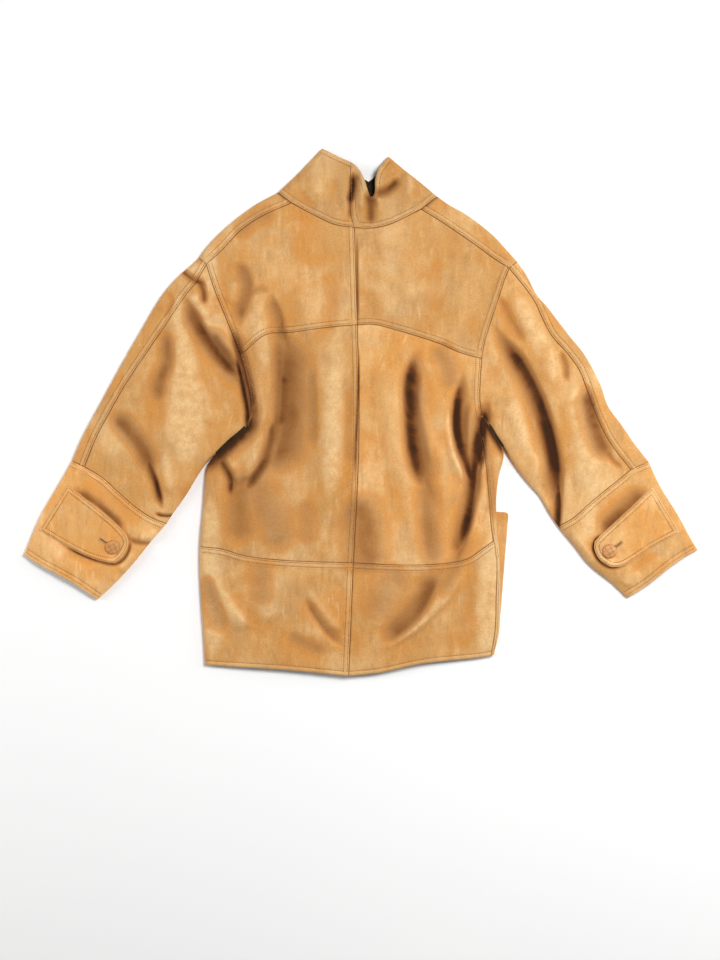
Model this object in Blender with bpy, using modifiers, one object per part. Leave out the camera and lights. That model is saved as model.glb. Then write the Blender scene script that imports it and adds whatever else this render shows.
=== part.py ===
"""A suede sheepskin coat lying on its front, closed, with its back up.

Every cut piece is a wall of suede between two skins. The back, the sleeve backs
and the collar's back form an upper layer, whose height is one function of the
place (x, y). The fronts and the sleeve fronts form a lower layer, flat on the
ground, which rolls up round the fold edges to the seams on the upper side.
Plan points are in millimetres and the objects in metres, with +Y towards the
collar and -X towards the wearer's left side.
"""

import math

import bmesh
import bpy
import numpy as np
from mathutils import Matrix, Vector

MM = 0.001
COAT = "sheepskin_coat"

# Walls and seams.
WALL = 2.4
SEAM_GAP = 0.3

# The rolled fold edges, where the upper layer turns into the lower one.
ROLL_MIDDLE = 7.0
ROLL_REACH_UPPER = 14.0
ROLL_REACH_LOWER = 9.0

# The upper layer's height: low at the edges, a soft dome between them.
EDGE_HEIGHT = 15.0
DOME_HEIGHT = 9.0
DOME_REACH = 70.0
MOUTH_DROP = 5.0
MOUTH_REACH = 40.0
LOWEST_HEIGHT = 10.5

# Spacing of the grid lines, and the extra ones across a fold edge.
UPPER_SPACING = 30.0
BACK_ROW_SPACING = 39.0
COLLAR_SPACING = 24.0
LOWER_SPACING = 60.0
SLEEVE_SPACING = 36.0
EDGE_LINES = (1.5, 5.0, 11.0)
LOWER_EDGE_LINES = (2.5, 10.0)
CURVE_STEP = 6.0

# Shares of the way across the parts that turn over an edge, where grid lines go.
SHOULDER_TURN = np.array([0.0, 0.05, 0.18, 0.4, 1.0])
SIDE_TURN = np.array([0.0, 0.2, 0.55, 1.0])
SLEEVE_TURN = np.array([0.0, 0.45, 0.72, 0.9, 1.0])

# Straight chords along the seams that several pieces share.
CHORDS = dict(armhole_low=3, armhole_high=4, shoulder_seam=4, neck=4,
              side_seam_low=4, side_seam_high=6)

# The closing: the right front laps over the left one, with buttons on the line.
LAP = 28.0
LAP_RAMP = 14.0
CLOSING_BUTTONS = (0.16, 0.38, 0.60, 0.82)
BUTTON_RADIUS = 12.5
FRONT_BUTTON_HEIGHT = 5.2
BUTTON_FLAT = 20.0
BUTTON_FADE = 24.0
BUTTON_ROWS = 14.4

# The patch pockets under the fronts, and how far the lift above them reaches.
POCKET_SIZE = (160.0, 205.0)
POCKET_CORNER = 28.0
POCKET_SPREAD = 30.0
POCKET_FADE = 26.0

# The cuff tabs, and the buttons on them.
TAB_WALL = 2.6
TAB_CLEARANCE = 0.4
CUFF_BUTTON_HEIGHT = 6.8

# Corners where seams and edges meet: (x, y) in mm.
NECK_BACK = (-12, 322)
NECK_FRONT = (-8, 275)
COLLAR_SEAM_TOP = (-17, 437)
COLLAR_FRONT_TOP = (14, 404)
YOKE_CENTRE = (-7, 152)
BAND_CENTRE = (-14, -264)
HEM_CENTRE = (-22, -462)
CORNERS = {
    "left": dict(
        hem=(-273, -443), side_hem=(-273, -443), band=(-282, -236),
        underarm=(-200, -24), yoke=(-210, 100), shoulder=(-270, 259),
        shoulder_edge=(-284, 270), neck=(-122, 366), neck_edge=(-145, 385),
        collar=(-68, 462), sleeve_seam_end=(-484, -96), cuff_top=(-506, -86),
        cuff_under=(-341, -196), cuff_out=(-590, -250), cuff_in=(-462, -329)),
    "right": dict(
        hem=(233, -425), side_hem=(228, -427), band=(232, -226),
        underarm=(211, -4), yoke=(210, 93), shoulder=(259, 252),
        shoulder_edge=(273, 264), neck=(105, 355), neck_edge=(133, 378),
        collar=(48, 448), sleeve_seam_end=(472, -101), cuff_top=(504, -87),
        cuff_under=(346, -201), cuff_out=(590, -242), cuff_in=(467, -326)),
}

# What each line passes between its two corners: (x, y) in mm.
BETWEEN = {
    "left": dict(
        side=[(-275, -399), (-281, -312), (-282, -236), (-276, -163),
              (-270, -122), (-261, -91), (-233, -61)],
        armhole_low=[(-192, 4), (-194, 30), (-201, 65)],
        armhole_high=[(-221, 128), (-234, 161), (-254, 210), (-263, 236)],
        shoulder_seam=[(-243, 284), (-212, 317), (-177, 341)],
        shoulder_edge=[(-268, 292), (-233, 327), (-187, 362)],
        neck=[(-77, 342), (-46, 328)],
        neck_front=[(-112, 335), (-62, 292)],
        collar_edge=[(-112, 416), (-88, 441)],
        collar_top=[(-37, 446)],
        collar_front_top=[(-30, 428)],
        yoke_seam=[(-192, 116), (-164, 136), (-116, 140), (-49, 149)],
        band_seam=[(-245, -240), (-203, -252), (-156, -258), (-89, -262)],
        hem=[(-219, -446), (-122, -452)],
        sleeve_seam=[(-290, 226), (-310, 200), (-340, 156), (-367, 116),
                     (-392, 79), (-415, 44), (-441, -2), (-464, -46)],
        sleeve_edge=[(-298, 257), (-318, 240), (-348, 205), (-380, 152),
                     (-420, 82), (-458, 12), (-486, -40)],
        sleeve_fold=[(-228, -49), (-250, -70), (-269, -88), (-285, -110),
                     (-306, -145), (-332, -182)],
        cuff_seam=[(-450, -117), (-425, -140), (-394, -167), (-369, -184)],
        cuff_edge=[(-530, -128), (-560, -180), (-583, -233)],
        cuff_mouth=[(-562, -268), (-530, -285), (-499, -303)],
        cuff_fold=[(-373, -233), (-401, -268), (-434, -303)],
        tab_upper=[(-481, -152), (-452, -175), (-427, -196)],
        tab_lower=[(-516, -233), (-477, -253), (-448, -262)],
        tab_end=[(-406, -229), (-416, -251)],
    ),
    "right": dict(
        side=[(242, -385), (244, -329), (243, -259), (239, -206), (237, -154),
              (242, -110), (246, -85), (240, -66), (228, -45), (217, -24)],
        side_seam_low=[(235, -385), (237, -329), (238, -259)],
        side_seam_high=[(228, -195), (223, -136), (216, -68), (209, -34)],
        armhole_low=[(207, 24), (208, 60)],
        armhole_high=[(214, 117), (222, 145), (240, 200), (251, 233)],
        shoulder_seam=[(231, 270), (205, 289), (175, 310), (150, 327)],
        shoulder_edge=[(248, 292), (231, 310), (186, 345), (156, 362)],
        neck=[(80, 342), (47, 327), (16, 321)],
        neck_front=[(96, 330), (45, 290)],
        collar_edge=[(102, 404), (75, 425)],
        collar_top=[(36, 437), (27, 418), (22, 397), (16, 378), (10, 398),
                    (4, 417), (-5, 429)],
        collar_front_top=[(35, 424)],
        yoke_seam=[(173, 104), (136, 120), (70, 141), (21, 153)],
        band_seam=[(208, -243), (187, -257), (147, -265), (77, -268)],
        hem=[(208, -430), (110, -440), (33, -456)],
        sleeve_seam=[(284, 222), (305, 192), (318, 163), (334, 133), (359, 105),
                     (381, 75), (396, 38), (408, 4), (433, -49)],
        sleeve_edge=[(290, 240), (308, 205), (324, 187), (364, 135), (392, 100),
                     (420, 47), (432, 12), (457, -23), (481, -58)],
        sleeve_fold=[(224, -22), (237, -44), (250, -64), (275, -102),
                     (296, -128), (313, -147), (332, -180)],
        cuff_seam=[(454, -116), (426, -138), (401, -159), (374, -184)],
        cuff_edge=[(523, -128), (555, -180), (579, -224)],
        cuff_mouth=[(574, -250), (546, -268), (502, -303)],
        cuff_fold=[(373, -233), (401, -268), (444, -303)],
        tab_upper=[(478, -161), (444, -192), (419, -215)],
        tab_lower=[(513, -234), (478, -257), (454, -270)],
        tab_end=[(407, -238), (416, -257)],
    ),
}
TABS = {
    "left": dict(base=((-513, -128), (-562, -206)), end=((-410, -215), (-430, -264)),
                 button=(-434, -236)),
    "right": dict(base=((509, -131), (557, -211)), end=((408, -226), (436, -271)),
                  button=(434, -243)),
}
# Each pocket's centre in mm, and its tilt in degrees about it.
POCKETS = {"left": (-194, -270, 0.0), "right": (171, -272, -4.6)}

# Ridges (+) and troughs (-) of the upper layer.
# height in mm, width in mm to the left and right of the path, path points.
FOLDS = [
    # left half of the back
    (9, 14, 17, [(-184, 205), (-173, 108), (-163, 21), (-172, -86), (-207, -140)]),
    (-9, 11, 11, [(-196, 200), (-201, 240), (-206, 270)]),
    (-5, 6, 6, [(-206, 185), (-212, 135)]),
    (-9, 22, 24, [(-146, 130), (-136, 24), (-107, -32), (-70, -85)]),
    (6, 16, 16, [(-56, 140), (-46, 21), (-42, -117), (-60, -175)]),
    (-7, 8, 8, [(-254, -78), (-229, -114), (-229, -150)]),
    (-4, 14, 14, [(-205, -125), (-211, -215)]),
    (5, 14, 14, [(-279, -262), (-238, -312), (-188, -378)]),
    (-4, 18, 18, [(-92, -354), (-28, -424)]),
    (-3, 14, 14, [(-132, -418), (-48, -416)]),
    # right half of the back
    (-13, 16, 18, [(104, 104), (80, 56), (88, -14), (103, -75), (116, -136), (100, -236)]),
    (7, 12, 12, [(58, 40), (68, -102), (90, -270)]),
    (6, 12, 12, [(125, -16), (133, -138)]),
    (-12, 9, 9, [(176, 44), (163, -28), (175, -86), (198, -142)]),
    (7, 10, 9, [(188, 34), (187, -28), (193, -78)]),
    (-13, 7, 11, [(222, 14), (205, -44), (201, -119), (191, -180), (162, -262)]),
    (8, 8, 13, [(219, -20), (205, -120), (187, -224), (175, -284), (126, -345), (36, -420)]),
    (-5, 15, 15, [(118, -310), (72, -392)]),
    # left sleeve
    (-13, 10, 13, [(-316, 208), (-276, 158), (-250, 114), (-208, 54)]),
    (-5, 7, 7, [(-316, 246), (-274, 222)]),
    (-5, 7, 7, [(-288, 230), (-272, 190)]),
    (-5, 20, 20, [(-364, 88), (-392, -34)]),
    (-7, 13, 15, [(-406, -66), (-362, -122), (-352, -164)]),
    # right sleeve
    (-15, 12, 17, [(242, 128), (278, 82), (310, 30), (329, -49), (343, -102), (346, -200)]),
    (-7, 9, 9, [(238, 206), (261, 158), (292, 110)]),
    (-6, 10, 10, [(309, 204), (344, 134)]),
    (-4, 14, 14, [(440, -40), (464, -100)]),
    (-6, 8, 8, [(294, -122), (328, -156)]),
    # collar
    (9, 9, 9, [(-2, 346), (3, 392), (-2, 440)]),
    (9, 9, 9, [(26, 350), (31, 392), (36, 452)]),
    (-5, 8, 8, [(-16, 424), (-11, 376)]),
    (-4, 8, 8, [(20, 374), (68, 406)]),
]

COLOURS = {
    "suede": (0.62, 0.36, 0.14, 1.0),
    "suede_dark": (0.56, 0.31, 0.11, 1.0),
    "leather": (0.42, 0.19, 0.06, 1.0),
}


# ---------------------------------------------------------------- lines in plan

class Line:
    """A run of plan points, and the fractions of its length that grids must hit."""

    def __init__(self, points, marks=None):
        self.points = np.asarray(points, float)
        steps = np.hypot(*np.diff(self.points, axis=0).T)
        self.reach = np.concatenate([[0.0], np.cumsum(steps)])
        self.length = self.reach[-1]
        runs = np.diff(self.points, axis=0) / steps[:, None]
        runs = np.concatenate([runs[:1], runs, runs[-1:]])
        self.turning = runs[:-1] + runs[1:]
        self.turning /= np.hypot(*self.turning.T)[:, None]
        self.marks = self.reach / self.length if marks is None else np.asarray(marks)

    def at(self, fractions):
        places = np.asarray(fractions) * self.length
        return np.stack([np.interp(places, self.reach, self.points[:, axis])
                         for axis in (0, 1)], axis=-1)

    def reversed(self):
        return Line(self.points[::-1], 1.0 - self.marks[::-1])

    def marked(self, marks):
        return Line(self.points, marks)


class TimedLine:
    """A line whose marks fall at the given values, so that two sides share them."""

    def __init__(self, line, values):
        self.line = line
        self.values = values

    def at(self, values):
        return self.line.at(np.interp(values, self.values, self.line.marks))


def smooth(points):
    """A fine line on the centripetal Catmull-Rom curve through the points."""
    points = np.asarray(points, float)
    if len(points) == 2:
        return Line(points, (0.0, 1.0))
    ends = [2 * points[0] - points[1]], [2 * points[-1] - points[-2]]
    padded = np.concatenate([ends[0], points, ends[1]])
    run = []
    for p0, p1, p2, p3 in zip(padded, padded[1:], padded[2:], padded[3:]):
        t1 = math.dist(p0, p1) ** 0.5
        t2 = t1 + math.dist(p1, p2) ** 0.5
        t3 = t2 + math.dist(p2, p3) ** 0.5
        count = max(2, round(math.dist(p1, p2) / CURVE_STEP))
        for t in np.linspace(t1, t2, count, endpoint=False):
            a1 = p0 + (p1 - p0) * t / t1
            a2 = p1 + (p2 - p1) * (t - t1) / (t2 - t1)
            a3 = p2 + (p3 - p2) * (t - t2) / (t3 - t2)
            b1 = a1 + (a2 - a1) * t / t2
            b2 = a2 + (a3 - a2) * (t - t1) / (t3 - t1)
            run.append(b1 + (b2 - b1) * (t - t1) / (t2 - t1))
    run.append(points[-1])
    return Line(run, (0.0, 1.0))


def knotted(line, count):
    """The same curve as a few straight chords, which every neighbour shares."""
    return Line(line.at(np.linspace(0.0, 1.0, count + 1)))


def chain(*lines):
    """Lines joined end to end, with their marks and corners kept."""
    points = np.concatenate([lines[0].points] + [line.points[1:] for line in lines[1:]])
    total = sum(line.length for line in lines)
    marks = []
    start = 0.0
    for line in lines:
        marks.extend((start + line.marks * line.length) / total)
        start += line.length
    return Line(points, np.unique(np.round(marks, 9)))


def stations(lines, spacing, edge_lines=(), at_start=False, at_end=False):
    """Fractions for grid lines: every mark, the fold-edge lines, and even filling."""
    length = sum(line.length for line in lines) / len(lines)
    marks = {0.0, 1.0}
    for line in lines:
        marks.update(np.round(line.marks, 9))
    for place in edge_lines:
        if at_start:
            marks.add(place / length)
        if at_end:
            marks.add(1.0 - place / length)
    marks = sorted(marks)
    result = [0.0]
    for low, high in zip(marks, marks[1:]):
        count = max(1, math.ceil((high - low) * length / spacing - 0.25))
        result.extend(np.linspace(low, high, count + 1)[1:])
    return np.array(result)


def nearest(places, line):
    """Distance, share of the length, offset and right-hand direction, for each place."""
    starts = line.points[:-1]
    runs = np.diff(line.points, axis=0)
    lengths = np.hypot(*runs.T)
    away = places[:, None] - starts[None]
    share = np.clip((away * runs).sum(-1) / lengths ** 2, 0.0, 1.0)
    offset = away - share[..., None] * runs
    pick = np.hypot(offset[..., 0], offset[..., 1]).argmin(axis=1)
    rows = np.arange(len(places))
    offset = offset[rows, pick]
    distance = np.hypot(*offset.T)
    turning = line.turning[pick] + (line.turning[pick + 1] - line.turning[pick]) \
        * share[rows, pick][:, None]
    right = np.stack([turning[:, 1], -turning[:, 0]], axis=1)
    along = (line.reach[pick] + share[rows, pick] * lengths[pick]) / line.length
    return distance, along, offset, right


# ------------------------------------------------------------ lines of the coat

def make_lines():
    """Every seam and edge of the laid-out coat, by side and name."""
    ends = dict(
        side=("hem", "underarm"), armhole_low=("underarm", "yoke"),
        armhole_high=("yoke", "shoulder"), shoulder_seam=("shoulder", "neck"),
        shoulder_edge=("shoulder_edge", "neck_edge"), collar_edge=("neck_edge", "collar"),
        sleeve_seam=("shoulder", "sleeve_seam_end"), sleeve_edge=("shoulder_edge", "cuff_top"),
        sleeve_fold=("underarm", "cuff_under"), cuff_seam=("sleeve_seam_end", "cuff_under"),
        cuff_edge=("cuff_top", "cuff_out"), cuff_mouth=("cuff_out", "cuff_in"),
        cuff_fold=("cuff_under", "cuff_in"), neck=("neck", NECK_BACK),
        neck_front=("neck_edge", NECK_FRONT), collar_top=("collar", COLLAR_SEAM_TOP),
        collar_front_top=("collar", COLLAR_FRONT_TOP), yoke_seam=("yoke", YOKE_CENTRE),
        band_seam=("band", BAND_CENTRE), hem=("side_hem", HEM_CENTRE),
        side_seam_low=("side_hem", "band"), side_seam_high=("band", "underarm"))
    lines = {}
    for side, corners in CORNERS.items():
        for name, (start, end) in ends.items():
            if name.startswith("side_seam") and side == "left":
                continue
            points = [corners.get(start), *BETWEEN[side][name], corners.get(end, end)]
            line = smooth(points)
            lines[side, name] = knotted(line, CHORDS[name]) if name in CHORDS else line
        lines[side, "shoulder_stub"] = Line([corners["shoulder_edge"], corners["shoulder"]])
        lines[side, "neck_stub"] = Line([corners["neck_edge"], corners["neck"]])
        lines[side, "cuff_stub"] = Line([corners["cuff_top"], corners["sleeve_seam_end"]])
        fine = lines[side, "neck_front"]
        kept = [place / fine.length for place in (0.0, LAP / 2.0, LAP, LAP + LAP_RAMP)]
        kept += list(np.linspace(kept[-1], 1.0, 4)[1:])
        lines[side, "neck_front"] = Line(fine.at(1.0 - np.array(kept[::-1])))
        armhole = chain(lines[side, "armhole_high"].reversed(),
                        lines[side, "armhole_low"].reversed())
        lines[side, "cuff_seam"] = Line(lines[side, "cuff_seam"].at(armhole.marks))
    left_side = lines["left", "side"]
    split = nearest(np.array([CORNERS["left"]["band"]], float), left_side)[1][0]
    lines["left", "side_seam_low"] = Line(
        left_side.at(np.linspace(0.0, split, CHORDS["side_seam_low"] + 1)))
    lines["left", "side_seam_high"] = Line(
        left_side.at(np.linspace(split, 1.0, CHORDS["side_seam_high"] + 1)))
    lines["centre", "yoke"] = smooth([YOKE_CENTRE, NECK_BACK])
    lines["centre", "back"] = smooth([BAND_CENTRE, (-6, -108), (-4, 21), YOKE_CENTRE])
    lines["centre", "band"] = smooth([HEM_CENTRE, BAND_CENTRE])
    lines["centre", "front"] = smooth([HEM_CENTRE, NECK_FRONT])
    lines["centre", "collar"] = smooth([NECK_BACK, (-18, 350), (-19, 390), COLLAR_SEAM_TOP])
    lines["centre", "collar_front"] = smooth([NECK_FRONT, COLLAR_FRONT_TOP])
    return lines


LINES = make_lines()


def lines_of(side):
    """The lines of one side by name."""
    return {name: line for (owner, name), line in LINES.items() if owner == side}


def fold_edges():
    """Each run of fold edge, and whether the coat lies to the right of its direction."""
    runs = []
    for side in ("left", "right"):
        on_left = side == "left"
        line = lines_of(side)
        runs.append((line["side"], on_left))
        runs.append((chain(line["sleeve_fold"], line["cuff_fold"]), on_left))
        runs.append((chain(line["cuff_edge"].reversed(), line["sleeve_edge"].reversed(),
                           line["shoulder_edge"], line["collar_edge"]), on_left))
    return runs


EDGES = fold_edges()
MOUTHS = [LINES[side, name] for side in ("left", "right")
          for name in ("hem", "cuff_mouth", "collar_top")]


# ----------------------------------------------------------------- the heights

def fold_edge(places):
    """Distance to the nearest fold edge, and the unit direction away from it."""
    best = np.full(len(places), np.inf)
    away = np.zeros((len(places), 2))
    for line, right_of_it in EDGES:
        distance, along, offset, right = nearest(places, line)
        inward = right if right_of_it else -right
        past_end = (distance > 0.5) & ((along < 1e-6) | (along > 1.0 - 1e-6))
        straight = offset / np.maximum(distance, 0.5)[:, None]
        inward = np.where(past_end[:, None], straight, inward)
        closer = distance < best
        best = np.where(closer, distance, best)
        away[closer] = inward[closer]
    return best, away


FOLD_LINES = [(height, left, right, smooth(path)) for height, left, right, path in FOLDS]


def upper_height(places, edge_distance):
    """Height of the upper layer's outer skin away from the rolled edges."""
    height = EDGE_HEIGHT + DOME_HEIGHT * (1.0 - np.exp(-edge_distance / DOME_REACH))
    mouth = np.min([nearest(places, line)[0] for line in MOUTHS], axis=0)
    height -= MOUTH_DROP * np.exp(-mouth / MOUTH_REACH)
    for rise, left, right, line in FOLD_LINES:
        distance, along, offset, right_hand = nearest(places, line)
        side = (offset * right_hand).sum(-1) / np.maximum(distance, 0.01)
        width = left + (right - left) * (0.5 + 0.5 * np.clip(side, -1.0, 1.0))
        fade = 1.0 - (2.0 * along - 1.0) ** 4
        height += rise * fade * np.exp(-(distance / width) ** 2)
    softness = 1.5
    return LOWEST_HEIGHT + softness * np.logaddexp(0.0, (height - LOWEST_HEIGHT) / softness)


def ease(share):
    share = np.clip(share, 0.0, 1.0)
    return share * share * (3.0 - 2.0 * share)


def closing_buttons():
    return LINES["centre", "front"].at(CLOSING_BUTTONS)


def lower_lift(places):
    """How far the lower layer is raised by the buttons and pockets under it."""
    lift = np.zeros(len(places))
    for button in closing_buttons():
        reach = np.hypot(*(places - button).T)
        lift = np.maximum(lift, (FRONT_BUTTON_HEIGHT + SEAM_GAP)
                          * ease((BUTTON_FLAT + BUTTON_FADE - reach) / BUTTON_FADE))
    for x, y, _ in POCKETS.values():
        beyond = np.abs(places - np.array([x, y])) - np.array(POCKET_SIZE) / 2.0
        reach = beyond.max(axis=1) - POCKET_SPREAD
        lift = np.maximum(lift, (WALL + SEAM_GAP) * ease(1.0 - reach / POCKET_FADE))
    return lift


def skins(grid, layer, on_edge=None, edge_shift=0.0, extra=None):
    """Outer and inner skin of a plan grid, on the upper (+1) or lower (-1) layer."""
    shape = grid.shape[:2]
    places = grid.reshape(-1, 2)
    distance, away = fold_edge(places)
    reach = ROLL_REACH_UPPER if layer > 0 else ROLL_REACH_LOWER
    turn = np.arccos(1.0 - np.clip(distance / reach, 0.0, 1.0))
    if on_edge is not None:
        turn = np.where(on_edge.reshape(-1), 0.0, turn)
    if layer > 0:
        height = ROLL_MIDDLE + (upper_height(places, distance) - ROLL_MIDDLE) * np.sin(turn)
    else:
        height = ROLL_MIDDLE * (1.0 - np.sin(turn))
        lift = lower_lift(places)
        if extra is not None:
            lift = lift + extra.reshape(-1)
        height = height + lift * np.sin(turn)
    if on_edge is not None:
        height = np.where(on_edge.reshape(-1), ROLL_MIDDLE + edge_shift, height)
    outer = np.column_stack([places, height])
    inward = np.column_stack([away * np.cos(turn)[:, None], -layer * np.sin(turn)])
    inner = outer + WALL * inward
    return outer.reshape(*shape, 3), inner.reshape(*shape, 3)


# ------------------------------------------------------------------ plan grids

def coons(south, north, west, east, across, up):
    """A plan grid between four lines: rows go up, columns go across."""
    low, high = south.at(across)[None], north.at(across)[None]
    first, last = west.at(up)[:, None], east.at(up)[:, None]
    u, v = across[None, :, None], up[:, None, None]
    corners = ((1 - u) * (1 - v) * low[:, :1] + u * (1 - v) * low[:, -1:]
               + (1 - u) * v * high[:, :1] + u * v * high[:, -1:])
    return (1 - v) * low + v * high + (1 - u) * first + u * last - corners


def inset(grid, *sides):
    """Move border runs in by half a seam gap; a side is its name, first and last index."""
    result = grid.copy()
    for name, first, last in sides:
        upright = name in ("west", "east")
        source = grid.swapaxes(0, 1) if upright else grid
        target = result.swapaxes(0, 1) if upright else result
        border, inside = (0, 1) if name in ("south", "west") else (-1, -2)
        chosen = slice(first, last)
        run = np.gradient(source[border][chosen], axis=0)
        across = np.stack([run[:, 1], -run[:, 0]], axis=1)
        across /= np.hypot(*across.T)[:, None]
        middle = len(run) // 2
        towards = (source[inside] - source[border])[chosen][middle]
        across *= math.copysign(SEAM_GAP / 2.0, (across[middle] * towards).sum())
        target[border][chosen] += across
    return result


# ------------------------------------------------------------------- cut pieces

class Piece:
    """One cut piece: grids joined where their points agree, with both skins."""

    def __init__(self):
        self.places = {}
        self.outer = []
        self.inner = []
        self.triangles = []

    def _index(self, outer, inner):
        key = tuple(np.round(outer, 3))
        if key not in self.places:
            self.places[key] = len(self.outer)
            self.outer.append(outer)
            self.inner.append(inner)
        return self.places[key]

    def add(self, outer, inner):
        rows, columns = outer.shape[:2]
        index = [[self._index(outer[r, c], inner[r, c]) for c in range(columns)]
                 for r in range(rows)]
        for r in range(rows - 1):
            for c in range(columns - 1):
                a, b = index[r][c], index[r][c + 1]
                d, e = index[r + 1][c], index[r + 1][c + 1]
                for triangle in ((a, b, e), (a, e, d)):
                    if len(set(triangle)) == 3:
                        self.triangles.append(triangle)

    def mesh(self, name):
        count = len(self.outer)
        faces = list(self.triangles)
        faces += [tuple(count + i for i in reversed(face)) for face in self.triangles]
        uses = {}
        for face in self.triangles:
            for edge in zip(face, face[1:] + face[:1]):
                key = tuple(sorted(edge))
                uses[key] = uses.get(key, 0) + 1
        rim = [edge for edge, used in uses.items() if used == 1]
        for a, b in rim:
            if tuple(self.outer[a]) > tuple(self.outer[b]):
                a, b = b, a
            faces += [(a, b, b + count), (a, b + count, a + count)]
        mesh = bpy.data.meshes.new(name)
        points = np.array(self.outer + self.inner) * MM
        mesh.from_pydata(points.tolist(), [], faces)
        bm = bmesh.new()
        bm.from_mesh(mesh)
        bmesh.ops.recalc_face_normals(bm, faces=bm.faces)
        bm.to_mesh(mesh)
        bm.free()
        return mesh


def mask(grid, rows=None, columns=None):
    """Which points of a grid lie on a fold edge."""
    chosen = np.zeros(grid.shape[:2], bool)
    if rows is not None:
        chosen[rows] = True
    if columns is not None:
        chosen[columns] = True
    return chosen


WHOLE = (0, None)


def index_of(values, value):
    return int(np.abs(values - value).argmin())


def upper_body(side):
    """The yoke, the back panel and the hem band of one side."""
    line = lines_of(side)
    top = chain(line["shoulder_seam"], line["neck"])
    across = stations([top], UPPER_SPACING, EDGE_LINES, at_start=True)
    pieces = {}

    yoke_rows = stations([line["armhole_high"]], UPPER_SPACING)
    grid = coons(line["yoke_seam"], top, line["armhole_high"],
                 LINES["centre", "yoke"], across, yoke_rows)
    grid = inset(grid, ("south", *WHOLE), ("north", *WHOLE), ("west", *WHOLE),
                 ("east", *WHOLE))
    pieces["back_yoke"] = Piece()
    pieces["back_yoke"].add(*skins(grid, +1))

    west = chain(line["side_seam_high"], line["armhole_low"])
    rows = stations([west], BACK_ROW_SPACING)
    corner = index_of(rows, line["side_seam_high"].length / west.length)
    grid = coons(line["band_seam"], line["yoke_seam"], west,
                 LINES["centre", "back"], across, rows)
    sides = [("south", *WHOLE), ("north", *WHOLE), ("east", *WHOLE), ("west", corner, None)]
    folded = None
    if side == "left":
        folded = mask(grid, columns=(slice(0, corner + 1), 0))
    else:
        sides.append(("west", 0, corner + 1))
    pieces["back"] = Piece()
    pieces["back"].add(*skins(inset(grid, *sides), +1, folded, SEAM_GAP / 2.0))

    rows = stations([line["side_seam_low"]], BACK_ROW_SPACING)
    grid = coons(line["hem"], line["band_seam"], line["side_seam_low"],
                 LINES["centre", "band"], across, rows)
    sides = [("north", *WHOLE), ("east", *WHOLE)]
    folded = None
    if side == "left":
        folded = mask(grid, columns=(slice(None), 0))
    else:
        sides.append(("west", *WHOLE))
    pieces["back_band"] = Piece()
    pieces["back_band"].add(*skins(inset(grid, *sides), +1, folded, SEAM_GAP / 2.0))
    return {f"{name}_{side}": piece for name, piece in pieces.items()}


def front_west(side):
    """The outer border of a front: side, armhole, and the stub over the shoulder."""
    seam = chain(LINES[side, "side_seam_low"], LINES[side, "side_seam_high"])
    edge = LINES[side, "side"].marked(seam.marks)
    return chain(edge, LINES[side, "armhole_low"], LINES[side, "armhole_high"],
                 LINES[side, "shoulder_stub"].reversed())


def front_rows():
    """Row values that both fronts share, with two rows across each button."""
    values = (front_west("left").marks + front_west("right").marks) / 2.0
    length = LINES["centre", "front"].length
    extra = [share + way * BUTTON_ROWS / length
             for share in CLOSING_BUTTONS for way in (-1.0, 1.0)]
    return values, np.unique(np.concatenate([values, extra]))


def closing_column(place):
    """A straight line from hem to neck, at a distance from the centre to the right."""
    side = "right" if place > 0 else "left"
    hem, neck = LINES[side, "hem"], LINES[side, "neck_front"]
    start = hem.at([1.0 - abs(place) / hem.length])[0]
    end = neck.at([1.0 - abs(place) / neck.length])[0]
    return Line([start, end])


def part_of(line, start, end):
    """The stretch of a line between two fractions, with the marks in it."""
    marks = line.marks[(line.marks > start + 1e-6) & (line.marks < end - 1e-6)]
    keep = (line.reach / line.length > start + 1e-6) & (line.reach / line.length < end - 1e-6)
    points = np.concatenate([line.at([start]), line.points[keep], line.at([end])])
    return Line(points, np.concatenate([[0.0], (marks - start) / (end - start), [1.0]]))


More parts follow.
